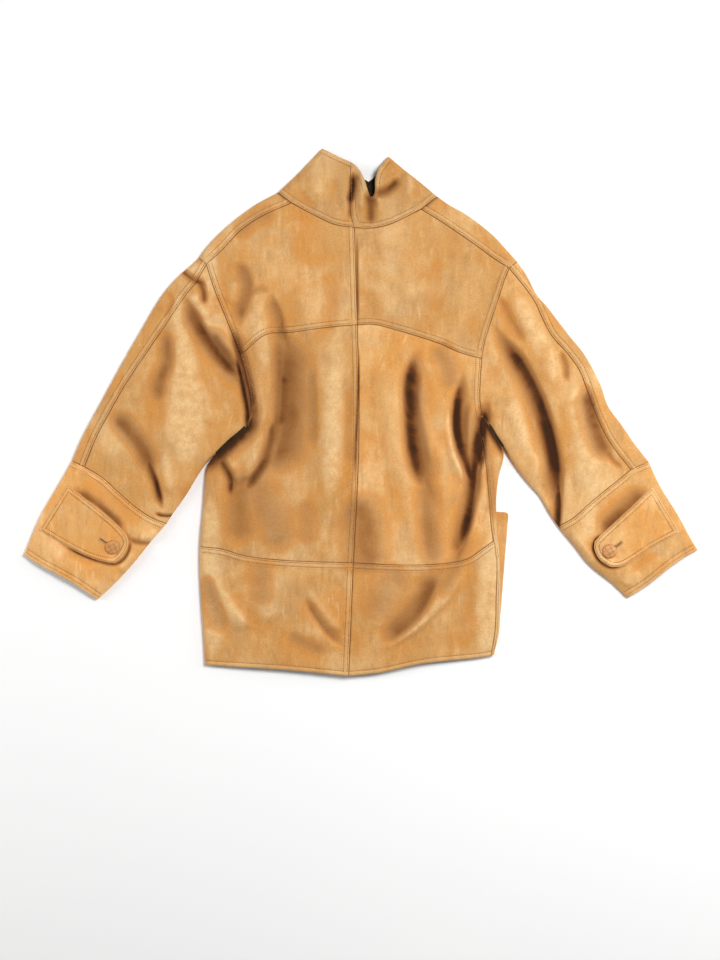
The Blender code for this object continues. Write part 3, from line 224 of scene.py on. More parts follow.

# Ridges (+) and troughs (-) of the upper layer, by where they lie: height in mm, width in
# mm to the left and right of the path, strength of the painted shade (troughs) or painted
# highlight (ridges) the materials lay there, path points in mm. A height of about nothing
# only paints a place: with painted shade (-) or a painted highlight (+).
FOLDS = [
    # left yoke and shoulder
    (-6, 10, 19, 0.62, [(-240, 262), (-207, 251), (-196, 222), (-203, 190), (-211, 162),
                        (-214, 136)]),
    (-2, 8, 8, 0.46, [(-204, 190), (-192, 208), (-174, 215), (-156, 206)]),
    (6, 13, 16, 0.5, [(-214, 236), (-218, 205), (-226, 182)]),
    (8, 15, 17, 0.7, [(-172, 214), (-180, 176), (-178, 130), (-172, 88), (-181, 14),
                      (-196, -50)]),
    (-7, 6, 19, 0.60, [(-166, 212), (-152, 192), (-141, 166), (-136, 138), (-126, 104)]),
    (-0.8, 3.2, 1.7, 0.75, [(-8, 330), (-7, 250), (-6, 190), (-5, 132)]),
    (5, 22, 18, 0.4, [(-96, 240), (-88, 180), (-92, 120)]),
    (-3, 20, 22, 0.25, [(-60, 270), (-50, 200), (-58, 120)]),
    # left half of the back
    (-11, 30, 13, 0.66, [(-146, 172), (-144, 110), (-143, 40), (-145, -10), (-154, -60),
                         (-172, -116)]),
    (-0.01, 46, 17, 0.72, [(-130, 166), (-131, 60), (-132, -20), (-144, -76), (-166, -136)]),
    (-0.01, 22, 11, 0.85, [(-136, 92), (-135, 44), (-137, 0), (-143, -50)]),
    (-3, 6, 30, 0.50, [(-84, 110), (-80, 20), (-79, -40), (-84, -90)]),
    (5, 5, 9, 0.5, [(-158, 118), (-164, 20), (-176, -30), (-197, -92)]),
    (7, 16, 17, 1.0, [(-50, 120), (-48, 30), (-51, -60), (-54, -133), (-64, -178)]),
    (-5, 14, 9, 0.3, [(-20, 60), (-24, -30), (-22, -120)]),
    (-8, 15, 11, 0.80, [(-150, 10), (-158, -50), (-172, -90), (-196, -128), (-216, -158)]),
    (7, 8, 9, 0.5, [(-186, -60), (-186, -100), (-214, -118)]),
    (-11, 5, 9, 0.95, [(-256, -70), (-238, -96), (-227, -118), (-231, -156)]),
    (6, 8, 6, 0.6, [(-240, -70), (-218, -104), (-214, -132)]),
    (-5, 32, 30, 0.54, [(-204, -80), (-212, -150), (-212, -190), (-208, -250)]),
    (-0.01, 46, 36, 0.44, [(-196, -84), (-176, -150), (-150, -200), (-136, -268)]),
    (4, 26, 26, 0.7, [(-128, -130), (-150, -180), (-150, -240)]),
    (-3, 20, 30, 0.36, [(-104, -140), (-90, -190), (-98, -246)]),
    (-1.5, 2.2, 4.4, 0.85, [(-3, 128), (-4, 60), (-6, 0), (-9, -70), (-12, -140)]),
    (-0.01, 40, 44, 0.60, [(-30, -130), (6, -190), (10, -240), (30, -300)]),
    (0.4, 21, 14, 1.0, [(-262, -110), (-266, -200), (-262, -320), (-260, -400), (-262, -470)]),
    (-0.01, 20, 20, 0.42, [(-226, 296), (-184, 338), (-136, 352)]),
    # left hem band
    (7, 9, 16, 0.7, [(-276, -276), (-241, -317), (-216, -356), (-182, -382)]),
    (-6, 14, 24, 0.44, [(-270, -268), (-262, -316), (-250, -356), (-234, -400)]),
    (-0.01, 20, 34, 0.42, [(-172, -244), (-170, -296), (-166, -350)]),
    (-7, 12, 5, 0.55, [(-104, -318), (-86, -348), (-63, -382), (-40, -404), (-24, -416)]),
    (5, 8, 12, 0.5, [(-98, -298), (-72, -342), (-50, -368), (-28, -386)]),
    (-5, 15, 18, 0.42, [(-140, -386), (-98, -406), (-50, -426)]),
    (4, 24, 24, 0.55, [(-170, -290), (-166, -330), (-150, -372)]),
    # right yoke and back
    (4, 20, 24, 0.4, [(60, 300), (84, 240), (80, 170)]),
    (-3, 22, 20, 0.2, [(130, 290), (134, 220), (120, 150)]),
    (4, 16, 18, 0.3, [(178, 250), (176, 190), (160, 130)]),
    (-14, 22, 14, 1.0, [(124, 118), (95, 96), (85, 52), (85, 8), (88, -50), (98, -100),
                        (120, -164)]),
    (-3, 10, 13, 0.55, [(90, -10), (97, -60), (110, -108), (124, -150), (128, -196)]),
    (-0.01, 26, 24, 0.56, [(112, -90), (116, -160), (122, -220), (130, -296)]),
    (-0.01, 27, 22, 0.50, [(118, 126), (148, 84), (160, 26)]),
    (-0.01, 26, 16, 0.50, [(96, 106), (100, 40), (98, -30), (112, -100), (124, -170)]),
    (8, 10, 9, 0.7, [(108, 74), (106, 10), (119, -52), (124, -100)]),
    (6, 20, 18, 0.4, [(44, 110), (46, 20), (62, -80), (84, -147), (88, -200), (86, -258)]),
    (-5, 12, 10, 0.2, [(112, -140), (104, -189), (112, -226), (108, -262)]),
    (5, 14, 16, 0.4, [(146, 40), (138, -40), (146, -110), (150, -190)]),
    (-18, 16, 9, 1.04, [(182, 86), (176, 56), (168, 16), (166, -24), (173, -62), (187, -98),
                      (200, -140), (202, -180)]),
    (-0.01, 20, 16, 0.55, [(186, 40), (182, 0), (186, -60), (196, -110)]),
    (8, 5, 10, 0.7, [(152, 20), (155, -30), (161, -66), (178, -112), (186, -136)]),
    (9, 8, 8, 0.4, [(193, 22), (191, -20), (190, -58), (187, -86)]),
    (-20, 9, 16, 1.06, [(226, 36), (216, -4), (208, -40), (203, -74), (199, -100), (197, -130),
                       (192, -168), (184, -204), (172, -240), (160, -276)]),
    (-7, 6, 20, 0.62, [(196, -130), (180, -200), (162, -270)]),
    (-0.01, 12, 8, 0.46, [(222, -30), (222, -90), (228, -150), (232, -210)]),
    (10, 9, 5, 0.4, [(222, -58), (210, -106), (204, -138), (199, -170), (190, -212),
                     (180, -246)]),
    (-4, 4, 4, 0.1, [(221, -160), (205, -204)]),
    # right hem band
    (9, 7, 16, 0.7, [(186, -244), (174, -290), (146, -328), (119, -356), (86, -384),
                     (40, -418)]),
    (-11, 10, 30, 0.70, [(142, -262), (124, -306), (106, -342), (78, -374), (24, -412)]),
    (0.4, 24, 20, 1.0, [(232, -190), (226, -260), (223, -330), (220, -390), (214, -450)]),
    (-0.01, 44, 44, 0.42, [(84, -258), (40, -320), (20, -380)]),
    (4, 20, 22, 0.7, [(54, -290), (44, -340), (20, -380)]),
    (-0.01, 24, 26, 0.44, [(188, -190), (172, -248), (154, -292), (126, -334)]),
    (-3, 14, 14, 0.2, [(188, -300), (186, -350), (160, -392)]),
    # left sleeve
    (-8, 6, 6, 0.85, [(-324, 260), (-304, 240), (-290, 230), (-266, 220)]),
    (-7, 7, 7, 0.7, [(-286, 232), (-276, 212), (-275, 184)]),
    (-5, 5, 5, 0.42, [(-348, 212), (-330, 198), (-344, 162)]),
    (6, 10, 10, 0.85, [(-296, 214), (-288, 196), (-262, 162)]),
    (-16, 9, 19, 0.84, [(-316, 214), (-292, 168), (-277, 142), (-257, 112), (-234, 84),
                        (-192, 40)]),
    (-0.01, 15, 22, 0.60, [(-276, 160), (-244, 118), (-220, 78), (-202, 30)]),
    (-0.01, 10, 26, 0.40, [(-300, 176), (-270, 124), (-236, 78), (-200, 20)]),
    (7, 11, 8, 0.6, [(-282, 176), (-262, 146), (-238, 118), (-222, 98)]),
    (8, 24, 22, 1.0, [(-324, 178), (-309, 80), (-320, -10), (-332, -90)]),
    (0.4, 24, 22, 1.0, [(-302, 90), (-294, 20), (-300, -40), (-322, -110)]),
    (0.4, 19, 18, 1.0, [(-322, 226), (-314, 160), (-308, 96), (-304, 24)]),
    (0.4, 14, 13, 1.0, [(-256, 318), (-263, 280), (-262, 228), (-254, 182), (-240, 144)]),
    (0.4, 11, 13, 0.8, [(-316, 232), (-288, 252), (-264, 238), (-258, 206)]),
    (-9, 14, 18, 0.62, [(-346, 160), (-338, 90), (-352, 52), (-357, -4)]),
    (4, 10, 12, 0.3, [(-366, 92), (-384, 50), (-402, 12)]),
    (-9, 22, 19, 0.70, [(-446, 10), (-404, -36), (-380, -70), (-362, -120)]),
    (-11, 5, 9, 0.95, [(-378, -66), (-366, -103), (-358, -123), (-346, -176)]),
    (-5, 4, 3, 0.8, [(-364, -176), (-350, -181), (-334, -182), (-322, -178)]),
    (7, 12, 9, 0.7, [(-344, -60), (-338, -110), (-330, -150)]),
    (4, 14, 14, 0.5, [(-282, 60), (-268, 10), (-262, -30)]),
    (-12, 5, 7, 1.0, [(-224, 116), (-211, 66), (-203, 28), (-198, 0), (-200, -24),
                      (-212, -52)]),
    # where the sleeves lie against the body, with painted shadow in the crevices
    (-5, 21, 3, 1.08, [(-176, 20), (-200, -26), (-226, -48), (-250, -71), (-270, -91),
                       (-290, -122)]),
    (-3, 3, 13, 1.0, [(206, 22), (216, -12), (228, -30), (241, -50), (254, -70), (268, -92)]),
    (-0.01, 14, 12, 0.86, [(-234, 176), (-219, 128), (-203, 76), (-191, 24), (-188, -14),
                          (-202, -56)]),
    (-10, 13, 17, 1.12, [(221, 24), (216, -8), (211, -42), (206, -80), (201, -116)]),
    # right sleeve
    (-8, 8, 8, 0.38, [(236, 212), (261, 158), (290, 112)]),
    (6, 18, 14, 0.95, [(262, 224), (284, 176), (318, 110), (346, 30)]),
    (-17, 9, 23, 1.08, [(214, 172), (241, 136), (281, 86), (307, 38), (324, -8),
                        (335, -50), (342, -88),
                        (345, -130), (346, -172), (344, -212)]),
    (-4, 14, 24, 0.44, [(240, 136), (286, 66), (308, 0), (322, -60), (330, -120)]),
    (-6, 4, 13, 0.98, [(338, -80), (345, -120), (348, -158), (347, -186), (345, -214),
                       (342, -246)]),
    (8, 26, 22, 1.0, [(366, 70), (384, 0), (393, -60), (392, -110), (380, -152)]),
    (-7, 6, 7, 0.5, [(346, 110), (357, 80), (359, 48)]),
    (-7, 12, 24, 0.80, [(388, 62), (396, 36), (411, -26), (426, -66), (446, -94)]),
    (-5, 4, 5, 0.4, [(426, -68), (442, -88), (458, -100)]),
    (-4, 5, 8, 0.2, [(312, -124), (326, -144), (344, -150)]),
    (5, 18, 16, 0.75, [(262, 40), (276, -20), (306, -90), (326, -140)]),
    # cuffs, with the shade beside the tabs' edges
    (-5, 3, 24, 0.76, [(510, -126), (488, -148), (468, -168), (430, -204), (408, -226)]),
    (-1, 3, 4, 0.95, [(434, -200), (411, -222), (406, -240), (417, -261), (436, -272),
                      (462, -266), (480, -256)]),
    (-5, 15, 3, 0.74, [(-514, -124), (-490, -144), (-458, -166), (-428, -194), (-404, -222)]),
    (-0.01, 22, 16, 0.28, [(-500, -110), (-450, -142), (-410, -174), (-370, -214)]),
    (-1, 4, 3, 0.9, [(-424, -196), (-409, -214), (-404, -232), (-412, -254), (-430, -266),
                     (-462, -260), (-500, -244), (-540, -222)]),
    (-4, 9, 9, 0.3, [(-520, -240), (-492, -254), (-460, -270)]),
    (6, 10, 10, 0.7, [(-352, -206), (-372, -218), (-392, -216)]),
    (-6, 5, 4, 0.7, [(-410, -220), (-398, -227), (-376, -231), (-362, -226)]),
    (4, 9, 9, 0.5, [(-396, -240), (-412, -262), (-424, -282)]),
    (0.4, 14, 14, 0.95, [(398, -70), (404, -130), (398, -190), (390, -250)]),
    (5, 10, 10, 0.6, [(366, -204), (384, -230), (412, -272)]),
    (-4, 8, 9, 0.25, [(530, -240), (494, -262), (462, -288)]),
    (5, 12, 12, 0.5, [(480, -270), (468, -290), (462, -308)]),
    # collar
    (4, 12, 14, 0.5, [(-96, 432), (-80, 410), (-68, 370)]),
    (-4, 8, 9, 0.2, [(-110, 398), (-98, 372), (-70, 352)]),
    (-4, 7, 9, 0.2, [(-48, 420), (-46, 390), (-40, 350)]),
    (9, 8, 8, 0.4, [(-2, 344), (3, 385), (-2, 428)]),
    (9, 8, 8, 0.4, [(31, 352), (30, 392), (32, 444)]),
    (-12, 8, 6, 1.05, [(-13, 424), (-14, 407), (-15, 391), (-19, 374), (-20, 358)]),
    (-4, 6, 4, 0.52, [(-17, 392), (-20, 364), (-21, 332)]),
    (-6, 10, 10, 0.80, [(10, 392), (16, 366), (17, 322)]),
    (-8, 8, 10, 0.84, [(18, 374), (34, 384), (48, 391), (60, 402), (66, 416)]),
    (4, 7, 8, 0.4, [(82, 424), (84, 392), (80, 368)]),
]
# The same for the lower layer, whose creases lift off the table, with painted shade in its
# creases and painted highlights; not seen in the photo.
LOWER_FOLDS = [
    # left front
    (-2.2, 16, 22, 0.60, [(-186, 20), (-160, -40), (-142, -96), (-96, -140)]),
    (-1.8, 14, 20, 0.50, [(-196, 150), (-168, 96), (-150, 30)]),
    (-1.5, 18, 14, 0.40, [(-90, 250), (-100, 180), (-84, 110)]),
    (-1.6, 12, 16, 0.45, [(-96, -390), (-70, -350), (-60, -290), (-66, -220)]),
    (0.3, 24, 22, 0.8, [(-150, 240), (-130, 150), (-110, 60)]),
    # right front
    (-2.4, 20, 15, 0.65, [(190, 40), (160, -30), (132, -80), (84, -150)]),
    (-1.6, 15, 18, 0.50, [(196, 160), (170, 110), (140, 40)]),
    (-1.4, 16, 14, 0.35, [(70, 270), (84, 200), (72, 120)]),
    (-1.8, 14, 18, 0.50, [(60, -400), (64, -340), (44, -270), (50, -200)]),
    (0.3, 22, 26, 0.8, [(130, 230), (110, 120), (120, 20)]),
    # left sleeve and cuff
    (-2.2, 15, 20, 0.60, [(-262, 170), (-290, 110), (-318, 40), (-322, -30)]),
    (-2.0, 12, 16, 0.60, [(-400, 60), (-392, 0), (-372, -60), (-366, -120)]),
    (-1.5, 14, 10, 0.40, [(-470, -60), (-430, -90), (-400, -130)]),
    (0.3, 20, 20, 0.7, [(-350, 110), (-380, 40)]),
    (-1.4, 10, 12, 0.40, [(-520, -140), (-480, -170), (-440, -190)]),
    (-1.2, 9, 11, 0.35, [(-540, -220), (-500, -250), (-466, -270)]),
    # right sleeve and cuff
    (-2.3, 18, 16, 0.65, [(252, 180), (284, 100), (306, 30), (312, -40)]),
    (-2.0, 14, 18, 0.55, [(410, 60), (398, -10), (372, -70), (360, -130)]),
    (-1.5, 10, 14, 0.40, [(440, -40), (420, -80), (396, -110)]),
    (0.3, 20, 22, 0.7, [(350, 90), (386, 10)]),
    (-1.4, 12, 10, 0.40, [(500, -130), (462, -170), (420, -200)]),
    (-1.2, 10, 12, 0.35, [(540, -210), (508, -240), (474, -280)]),
    # collar ends
    (-1.2, 9, 11, 0.40, [(-100, 400), (-80, 370), (-66, 340)]),
    (-1.3, 10, 10, 0.40, [(84, 410), (70, 370), (60, 330)]),
]


# ---------------------------------------------------------------- lines in plan

class Line:
    """A run of plan points with its length and, at each point, its direction."""

    def __init__(self, points):
        self.points = np.asarray(points, float)
        steps = np.hypot(*np.diff(self.points, axis=0).T)
        self.reach = np.concatenate([[0.0], np.cumsum(steps)])
        self.length = self.reach[-1]
        runs = np.diff(self.points, axis=0) / steps[:, None]
        runs = np.concatenate([runs[:1], runs, runs[-1:]])
        self.turning = runs[:-1] + runs[1:]
        self.turning /= np.hypot(*self.turning.T)[:, None]

    def at(self, fractions):
        places = np.asarray(fractions) * self.length
        return np.stack([np.interp(places, self.reach, self.points[:, axis])
                         for axis in (0, 1)], axis=-1)

    def reversed(self):
        return Line(self.points[::-1])

    def part(self, start, end):
        inside = (self.reach > start * self.length + 0.01) \
            & (self.reach < end * self.length - 0.01)
        return Line(np.concatenate([self.at([start]), self.points[inside], self.at([end])]))

    def without_end(self, distance):
        return self.part(0.0, 1.0 - distance / self.length)

    def before_end(self, distance):
        return self.at([1.0 - distance / self.length])[0]


def smooth(points, step=CURVE_STEP):
    """A fine line on the centripetal Catmull-Rom curve through the points."""
    points = np.asarray(points, float)
    ends = [2 * points[0] - points[1]], [2 * points[-1] - points[-2]]
    padded = np.concatenate([ends[0], points, ends[1]])
    run = []
    for p0, p1, p2, p3 in zip(padded, padded[1:], padded[2:], padded[3:]):
        t1 = math.dist(p0, p1) ** 0.5
        t2 = t1 + math.dist(p1, p2) ** 0.5
        t3 = t2 + math.dist(p2, p3) ** 0.5
        count = max(2, round(math.dist(p1, p2) / step))
        for t in np.linspace(t1, t2, count, endpoint=False):
            a1 = p0 + (p1 - p0) * t / t1
            a2 = p1 + (p2 - p1) * (t - t1) / (t2 - t1)
            a3 = p2 + (p3 - p2) * (t - t2) / (t3 - t2)
            b1 = a1 + (a2 - a1) * t / t2
            b2 = a2 + (a3 - a2) * (t - t1) / (t3 - t1)
            run.append(b1 + (b2 - b1) * (t - t1) / (t2 - t1))
    run.append(points[-1])
    return Line(run)


def chain(*lines):
    """Lines joined end to end, and the shares of its length at which they meet."""
    joined = Line(np.concatenate([lines[0].points] + [line.points[1:] for line in lines[1:]]))
    joined.joins = np.cumsum([line.length for line in lines])[:-1] \
        / sum(line.length for line in lines)
    return joined


def nearest(places, line):
    """Distance, share of the length, offset and right-hand direction, for each place."""
    starts = line.points[:-1]
    runs = np.diff(line.points, axis=0)
    lengths = np.hypot(*runs.T)
    count = len(places)
    distance, along = np.empty(count), np.empty(count)
    offsets, rights = np.empty((count, 2)), np.empty((count, 2))
    for first in range(0, count, 8000):
        part = slice(first, min(first + 8000, count))
        away_x = places[part, None, 0] - starts[None, :, 0]
        away_y = places[part, None, 1] - starts[None, :, 1]
        share = np.clip((away_x * runs[:, 0] + away_y * runs[:, 1]) / lengths ** 2, 0.0, 1.0)
        away_x -= share * runs[:, 0]
        away_y -= share * runs[:, 1]
        pick = (away_x * away_x + away_y * away_y).argmin(axis=1)
        rows = np.arange(len(pick))
        share = share[rows, pick]
        offsets[part] = np.stack([away_x[rows, pick], away_y[rows, pick]], axis=1)
        turning = line.turning[pick] \
            + (line.turning[pick + 1] - line.turning[pick]) * share[:, None]
        rights[part] = np.stack([turning[:, 1], -turning[:, 0]], axis=1)
        along[part] = (line.reach[pick] + share * lengths[pick]) / line.length
        distance[part] = np.hypot(*offsets[part].T)
    return distance, along, offsets, rights


def closest(places, lines):
    """Distance to the closest of several lines, for each place."""
    return np.min([nearest(places, line)[0] for line in lines], axis=0)


def near(places, line, reach):
    """Which places lie within reach of a line's bounding box."""
    low, high = line.points.min(axis=0) - reach, line.points.max(axis=0) + reach
    return np.flatnonzero(((places > low) & (places < high)).all(axis=1))


# ------------------------------------------------------------ lines of the coat

def make_lines():
    """Every seam and edge of the laid-out coat, by side and name."""
    ends = dict(
        side=("hem", "underarm"), armhole_low=("underarm", "yoke"),
        armhole_high=("yoke", "shoulder"), shoulder_seam=("shoulder", "neck"),
        shoulder_edge=("shoulder_edge", "neck_edge"), collar_edge=("neck_edge", "collar"),
        sleeve_seam=("shoulder", "sleeve_seam_end"), sleeve_edge=("shoulder_edge", "cuff_top"),
        sleeve_fold=("underarm", "cuff_under"), cuff_seam=("sleeve_seam_end", "cuff_under"),
        cuff_edge=("cuff_top", "cuff_out"), cuff_mouth=("cuff_out", "cuff_in"),
        cuff_fold=("cuff_under", "cuff_in"), neck=("neck", NECK_BACK),
        neck_front=("neck_edge", NECK_FRONT), collar_top=("collar", COLLAR_SEAM_TOP),
        collar_front_top=("collar", COLLAR_FRONT_TOP), yoke_seam=("yoke", YOKE_CENTRE),
        band_seam=("band", BAND_CENTRE), hem=("side_hem", HEM_CENTRE),
        side_seam_low=("side_hem", "band"), side_seam_high=("band", "underarm"))
    stubs = dict(shoulder_stub=("shoulder_edge", "shoulder"), neck_stub=("neck_edge", "neck"),
                 cuff_stub=("cuff_top", "sleeve_seam_end"))
    centre = dict(
        yoke=[YOKE_CENTRE, NECK_BACK], back=[BAND_CENTRE, (-6, -108), (-4, 21), YOKE_CENTRE],
        band=[HEM_CENTRE, BAND_CENTRE], front=[HEM_CENTRE, NECK_FRONT],
        collar=[NECK_BACK, (-18, 350), (-19, 390), COLLAR_SEAM_TOP],
        collar_front=[NECK_FRONT, COLLAR_FRONT_TOP])
    wholes = dict(whole_neck=("neck_stub", "neck"), whole_cuff_seam=("cuff_stub", "cuff_seam"),
                  side_seam=("side_seam_low", "side_seam_high"))
    lines = {("centre", name): smooth(points) for name, points in centre.items()}
    for side, corners in CORNERS.items():
        for name, (start, end) in ends.items():
            if name.startswith("side_seam") and side == "left":
                continue
            points = [corners.get(start), *BETWEEN[side][name], corners.get(end, end)]
            lines[side, name] = smooth(points)
        for name, (start, end) in stubs.items():
            lines[side, name] = Line([corners[start], corners[end]])
    left_side = lines["left", "side"]
    split = nearest(np.array([CORNERS["left"]["band"]], float), left_side)[1][0]
    lines["left", "side_seam_low"] = left_side.part(0.0, split)
    lines["left", "side_seam_high"] = left_side.part(split, 1.0)
    for side in SIDES:
        for name, parts in wholes.items():
            lines[side, name] = chain(*[lines[side, part] for part in parts])
    return lines


LINES = make_lines()


def lines_of(side):
    """The lines of one side by name, and those of the centre as centre_..."""
    return {name if owner == side else f"centre_{name}": line
            for (owner, name), line in LINES.items() if owner in (side, "centre")}


def fold_edges():
    """Each run of fold edge, and whether the coat lies to the right of its direction."""
    runs = []
    for side in SIDES:
        line = lines_of(side)
        for run in (line["side"], chain(line["sleeve_fold"], line["cuff_fold"]),
                    chain(line["cuff_edge"].reversed(), line["sleeve_edge"].reversed(),
                          line["shoulder_edge"], line["collar_edge"])):
            runs.append((run, side == "left"))
    return runs


EDGES = fold_edges()
MOUTHS = [LINES[side, name] for side in SIDES for name in ("hem", "cuff_mouth", "collar_top")]


# ----------------------------------------------------------------- the heights

def ease(share):
    """A soft step from nothing at 0 to one at 1."""
    share = np.clip(share, 0.0, 1.0)
    return share * share * (3.0 - 2.0 * share)


def fall(distance, reach):
    """One at no distance, and a third of that at each further reach."""
    return np.exp(-distance / reach)


def bell(distance, width):
    """One at no distance, a third at the width, and soon nothing."""
    return np.exp(-(distance / width) ** 2)


def add_bells(rise, distance, *bells):
    """A profile with bells added, each of a height at a distance, with a width."""
    for height, middle, width in bells:
        rise = rise + height * bell(distance - middle, width)
    return rise


def fold_edge(places):
    """Distance to the nearest fold edge, and the unit direction away from it."""
    best = np.full(len(places), np.inf)
    away = np.zeros((len(places), 2))
    for line, right_of_it in EDGES:
        distance, along, offset, right = nearest(places, line)
        inward = right if right_of_it else -right
        past_end = (distance > 0.5) & ((along < 1e-6) | (along > 1.0 - 1e-6))
        straight = offset / np.maximum(distance, 0.5)[:, None]
        inward = np.where(past_end[:, None], straight, inward)
        closer = distance < best
        best = np.where(closer, distance, best)
        away[closer] = inward[closer]
    return best, away


LATTICE_SIZE = 128
LATTICE = np.random.default_rng(7).uniform(-1.0, 1.0, (3, LATTICE_SIZE, LATTICE_SIZE))


def rumple(places, size, layer, stretch=(1.0, 1.0)):
    """Smooth random waves of about the given size in mm, between -1 and 1."""
    spots = places / size / np.array(stretch) + 40.0 + 17.3 * layer
    cell = np.floor(spots).astype(int)
    share = spots - cell
    share = share ** 3 * (share * (share * 6.0 - 15.0) + 10.0)
    rows = []
    for up in (0, 1):
        first, second = [LATTICE[layer, (cell[:, 1] + up) % LATTICE_SIZE,
                                 (cell[:, 0] + across) % LATTICE_SIZE] for across in (0, 1)]
        rows.append(first + (second - first) * share[:, 0])
    return rows[0] + (rows[1] - rows[0]) * share[:, 1]


UPPER_LINES, LOWER_LINES = [[(*row[:4], smooth(row[4], FOLD_STEP)) for row in table]
                            for table in (FOLDS, LOWER_FOLDS)]


def fold_relief(places, lines):
    """Sum of the ridges and troughs, and the painted shade and painted highlight they leave.
    """
    height, hollow, crest = np.zeros((3, len(places)))
    for rise, left, right, shade, line in lines:
        chosen = near(places, line, 3.0 * max(left, right))
        if not len(chosen):
            continue
        distance, along, offset, right_hand = nearest(places[chosen], line)
        side = (offset * right_hand).sum(-1) / np.maximum(distance, 0.01)
        share = ease(0.5 + 0.5 * np.clip(side, -1.0, 1.0))
        width = left + (right - left) * share
        fade = ease(along / FOLD_FADE) * ease((1.0 - along) / FOLD_FADE)
        shape = fade * bell(distance, width * (0.4 + 0.6 * fade))
        height[chosen] += rise * shape
        marked = hollow if rise < 0 else crest
        marked[chosen] = np.maximum(marked[chosen], FULL_MARK * shade * shape)
    return height, hollow, crest


def upper_height(places, edge_distance):
    """Height of the upper layer's outer skin, with its painted shade and painted highlight."""
    height = EDGE_HEIGHT + DOME_HEIGHT * (1.0 - fall(edge_distance, DOME_REACH))
    mouth = closest(places, MOUTHS)
    height -= MOUTH_DROP * fall(mouth, MOUTH_REACH)
    folds, hollow, crest = fold_relief(places, UPPER_LINES)
    inside = 1.0 - fall(np.minimum(edge_distance, mouth), CALM_REACH)
    broad, middling, small = [rumple(places, size, layer, stretch)
                              for layer, (_, size, stretch) in enumerate(WAVES)]
    high, middle, low = [row[0] for row in WAVES]
    height = height + folds + (high * broad + middle * middling + low * small) * inside
    # The waves' tops get a painted highlight and their bottoms painted shade.
    lie = 0.6 * broad + 0.5 * middling
    crest = np.maximum(crest, WAVE_CREST * np.clip(lie, 0.0, 1.0) * inside)
    hollow = np.maximum(hollow, WAVE_HOLLOW * np.clip(-lie, 0.0, 1.0) * inside)
    above = np.logaddexp(0.0, (height - LOWEST_HEIGHT) / LOWEST_SOFTNESS)
    return LOWEST_HEIGHT + LOWEST_SOFTNESS * above, hollow, crest


def closing_buttons():
    """Where the closing buttons lie, from hem to neck."""
    return LINES["centre", "front"].at(CLOSING_BUTTONS)


def lower_lift(places):
    """How far the lower layer is raised by the buttons and pockets under it."""
    lift = np.zeros(len(places))
    for button in closing_buttons():
        reach = np.hypot(*(places - button).T)
        lift = np.maximum(lift, (FRONT_BUTTON_HEIGHT + SEAM_GAP)
                          * ease((BUTTON_FLAT + BUTTON_FADE - reach) / BUTTON_FADE))
    for x, y, _ in POCKETS.values():
        beyond = np.abs(places - np.array([x, y])) - np.array(POCKET_SIZE) / 2.0
        reach = beyond.max(axis=1) - POCKET_SPREAD
        lift = np.maximum(lift, (WALL + SEAM_GAP) * ease(1.0 - reach / POCKET_FADE))
    return lift


def strip_profile(distance):
    """The raised strip of a lapped seam, with its two stitched grooves."""
    rise = STRIP_RISE * ease((STRIP_WIDTH + 2.4 - distance) / 2.8)
    rise = add_bells(rise, distance, (-0.5, STITCH_ROWS[0], 0.9), (-0.9, STITCH_ROWS[1], 0.9),
                     (0.4, 5.6, 2.0))
    return rise - 0.9 * fall(distance, 0.45)


def hem_profile(distance, rows):
    """A turned edge: a soft roll, its stitched grooves, and a rounded end."""
    rise = 0.9 * bell(distance - 3.4, 2.6) - 1.5 * fall(distance, 0.8)
    return add_bells(rise, distance, *[(-0.8, row, 1.3) for row in rows])


def seam_detail(places, seams):
    """Height that the seams add, and each place's worn paleness (+) or painted shade (-)."""
    rise, close = np.zeros((2, len(places)))
    pucker = rumple(places, 7.0, 1) * 0.6 + rumple(places, 15.0, 2) * 0.7
    for line, role in seams:
        chosen = near(places, line, SEAM_REACH)
        if not len(chosen):
            continue
        distance = nearest(places[chosen], line)[0]
        if role == "over":
            added = strip_profile(distance)
            edge = bell(distance - STRIP_WIDTH, 5.0)
            # A worn pale strip, dimmed by painted shade at its stitch grooves and beyond its
            # edge.
            wear_and_painted_light = add_bells(0.8 * ease((STRIP_WIDTH - distance) / 2.0), distance,
                               (-0.6, STITCH_ROWS[1], 0.9), (-0.2, STITCH_ROWS[0], 0.8))
        elif role == "under":
            added = -0.9 * fall(distance, 1.6)
            edge = bell(distance, 5.0)
            # Painted shadow along the edge of the panel that laps over this one.
            wear_and_painted_light = -bell(distance, 1.5)
        else:
            rows = CUFF_ROWS if role == "cuff" else (HEM_ROW,)
            added = hem_profile(distance, rows)
            edge = 1.3 * bell(distance - rows[-1] + 2.0, 7.0)
            # A worn pale hem, dimmed by painted shade at its stitch grooves.
            wear_and_painted_light = add_bells(0.8 * ease((HEM_ROW - distance) / 2.0), distance,
                               *[(-0.3, row, 1.0) for row in rows])
        rise[chosen] += added + PUCKER * edge * pucker[chosen]
        stronger = np.abs(wear_and_painted_light) > np.abs(close[chosen])
        close[chosen] = np.where(stronger, wear_and_painted_light, close[chosen])
    return rise, close


